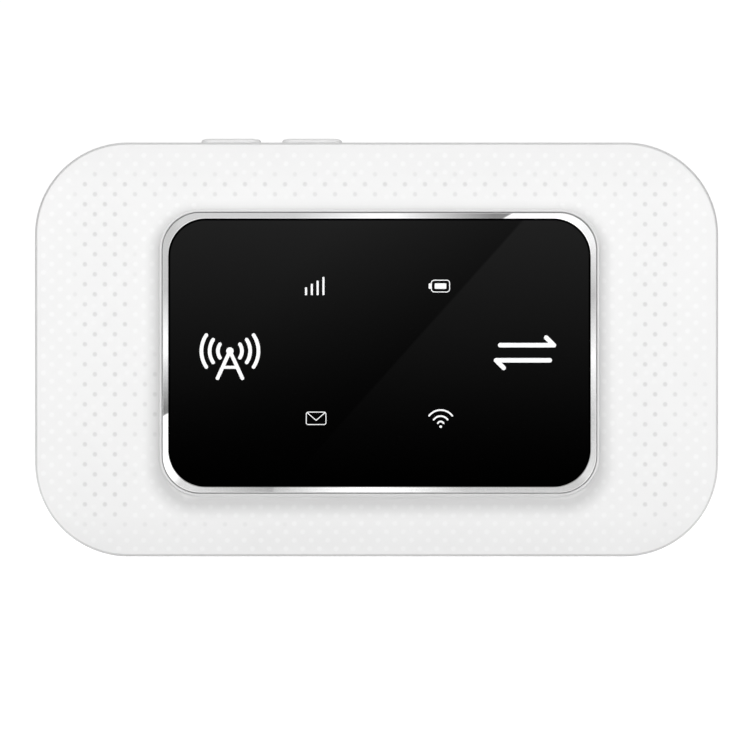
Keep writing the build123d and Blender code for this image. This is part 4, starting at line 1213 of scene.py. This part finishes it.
# ---- studio
WORLD_STOPS = ((-0.95, 1.0), (-0.2, 0.25), (0.2, 0.25), (0.9, 0.4))
WORLD_BELOW = 0.98
WORLD_ABOVE = 1.02
WORLD_SEEN = 1.05
FLOOR_RADII = (3000, 300)
FLOOR_GLOW = 0.12
FLOOR_SEEN = 0.9
KEY_POWER = 1.05
FRONT_POWER = 2.5
STRIP_POWER = 0.6
BACK_POWER = 5.0
CAMERA_PLACE = (-0.23, -2432.0, 26.44)
CAMERA_LENS = 800


def floor():
    """A wide pale floor, white to the camera and in mirrors but dim as a lamp, and clear from below."""
    mesh = bmesh.new()
    rings = [add_ring(mesh, circle(0, 0, radius, 96), 0.0, upright=True) for radius in FLOOR_RADII]
    skin(mesh, rings)
    mesh.faces.new(rings[-1])
    piece = mesh_object("floor", mesh)
    piece.location.z = -0.02 * MM
    look = Look("floor_white", 0.8, 0.8)
    path = look.add("LightPath")
    seen = look.math("MAXIMUM", path.outputs["Is Camera Ray"], path.outputs["Is Glossy Ray"])
    below = look.add("NewGeometry").outputs["Backfacing"]
    look.set(
        alpha=look.math("SUBTRACT", 1.0, below),
        color=look.mix(look.cloud(0, 1, 0.02), 0.78, 0.82),
        emission_color=1.0,
        emission_strength=look.range(seen, 0.0, 1.0, FLOOR_GLOW, FLOOR_SEEN),
    )
    piece.data.materials.append(finishes["floor_white"])


def area_light(name, place, width, height, power, diffuse=True, glossy=True):
    """A soft rectangular light aimed at the case, seen only by the kinds of ray it is meant for."""
    data = bpy.data.lights.new(name, "AREA")
    data.shape = "RECTANGLE"
    data.size, data.size_y = width * MM, height * MM
    data.energy = power
    lamp = placed(name, data)
    lamp.location = Vector(place) * MM
    aim = Vector((0, 0, CENTRE_Z)) - Vector(place)
    lamp.rotation_euler = aim.to_track_quat("-Z", "Y").to_euler()
    lamp.visible_diffuse = diffuse
    lamp.visible_glossy = glossy


def studio_world():
    """White to the camera; to the object, bright in front, dim at the sides, fair behind."""
    world = bpy.data.worlds.new("studio")
    world.use_nodes = True
    bpy.context.scene.world = world
    graph = Graph(world.node_tree)
    way = graph.add("TexCoord").outputs["Generated"]
    split = graph.add("SeparateXYZ", {0: way}).outputs
    tilt = graph.range(split["Z"], -1.0, 1.0, WORLD_BELOW, WORLD_ABOVE)
    seen = graph.add("LightPath").outputs["Is Camera Ray"]
    background = graph.tree.nodes["Background"].inputs
    graph.feed(background["Color"], graph.mix(seen, graph.tones(split["Y"], *WORLD_STOPS), 1.0))
    strength = graph.add("Mix", {0: seen, 2: tilt, 3: WORLD_SEEN}).outputs[0]
    graph.feed(background["Strength"], strength)


def lights():
    """A key above and in front, a soft front fill, strips that line the rim, and a fill behind."""
    area_light("key", (0, -420, 420), 500, 200, KEY_POWER, glossy=False)
    area_light("front_fill", (0, -1500, CENTRE_Z + 200), 500, 500, FRONT_POWER, glossy=False)
    for side in (-1, 1):
        area_light("side_strip", (side * 500, -160, CENTRE_Z), 300, 500, STRIP_POWER, diffuse=False)
        area_light("rim_strip", (0, -160, CENTRE_Z + side * 500), 500, 300, STRIP_POWER, diffuse=False)
    area_light("back_fill", (0, 900, 700), 900, 500, BACK_POWER, glossy=False)


def camera():
    """A long lens far in front, so the object is seen almost without perspective."""
    data = bpy.data.cameras.new("camera")
    data.lens = CAMERA_LENS
    data.sensor_width = 36
    data.clip_end = 20
    eye = placed("camera", data)
    eye.location = Vector(CAMERA_PLACE) * MM
    eye.rotation_euler = (math.pi / 2, 0, 0)
    bpy.context.scene.camera = eye


# ---- build
front_shell()
door_shell()
chrome_frame()
for button in BUTTONS:
    button_cap(button)
make_finishes()
dress()
floor()
studio_world()
lights()
camera()
bpy.context.scene.view_settings.view_transform = "Standard"
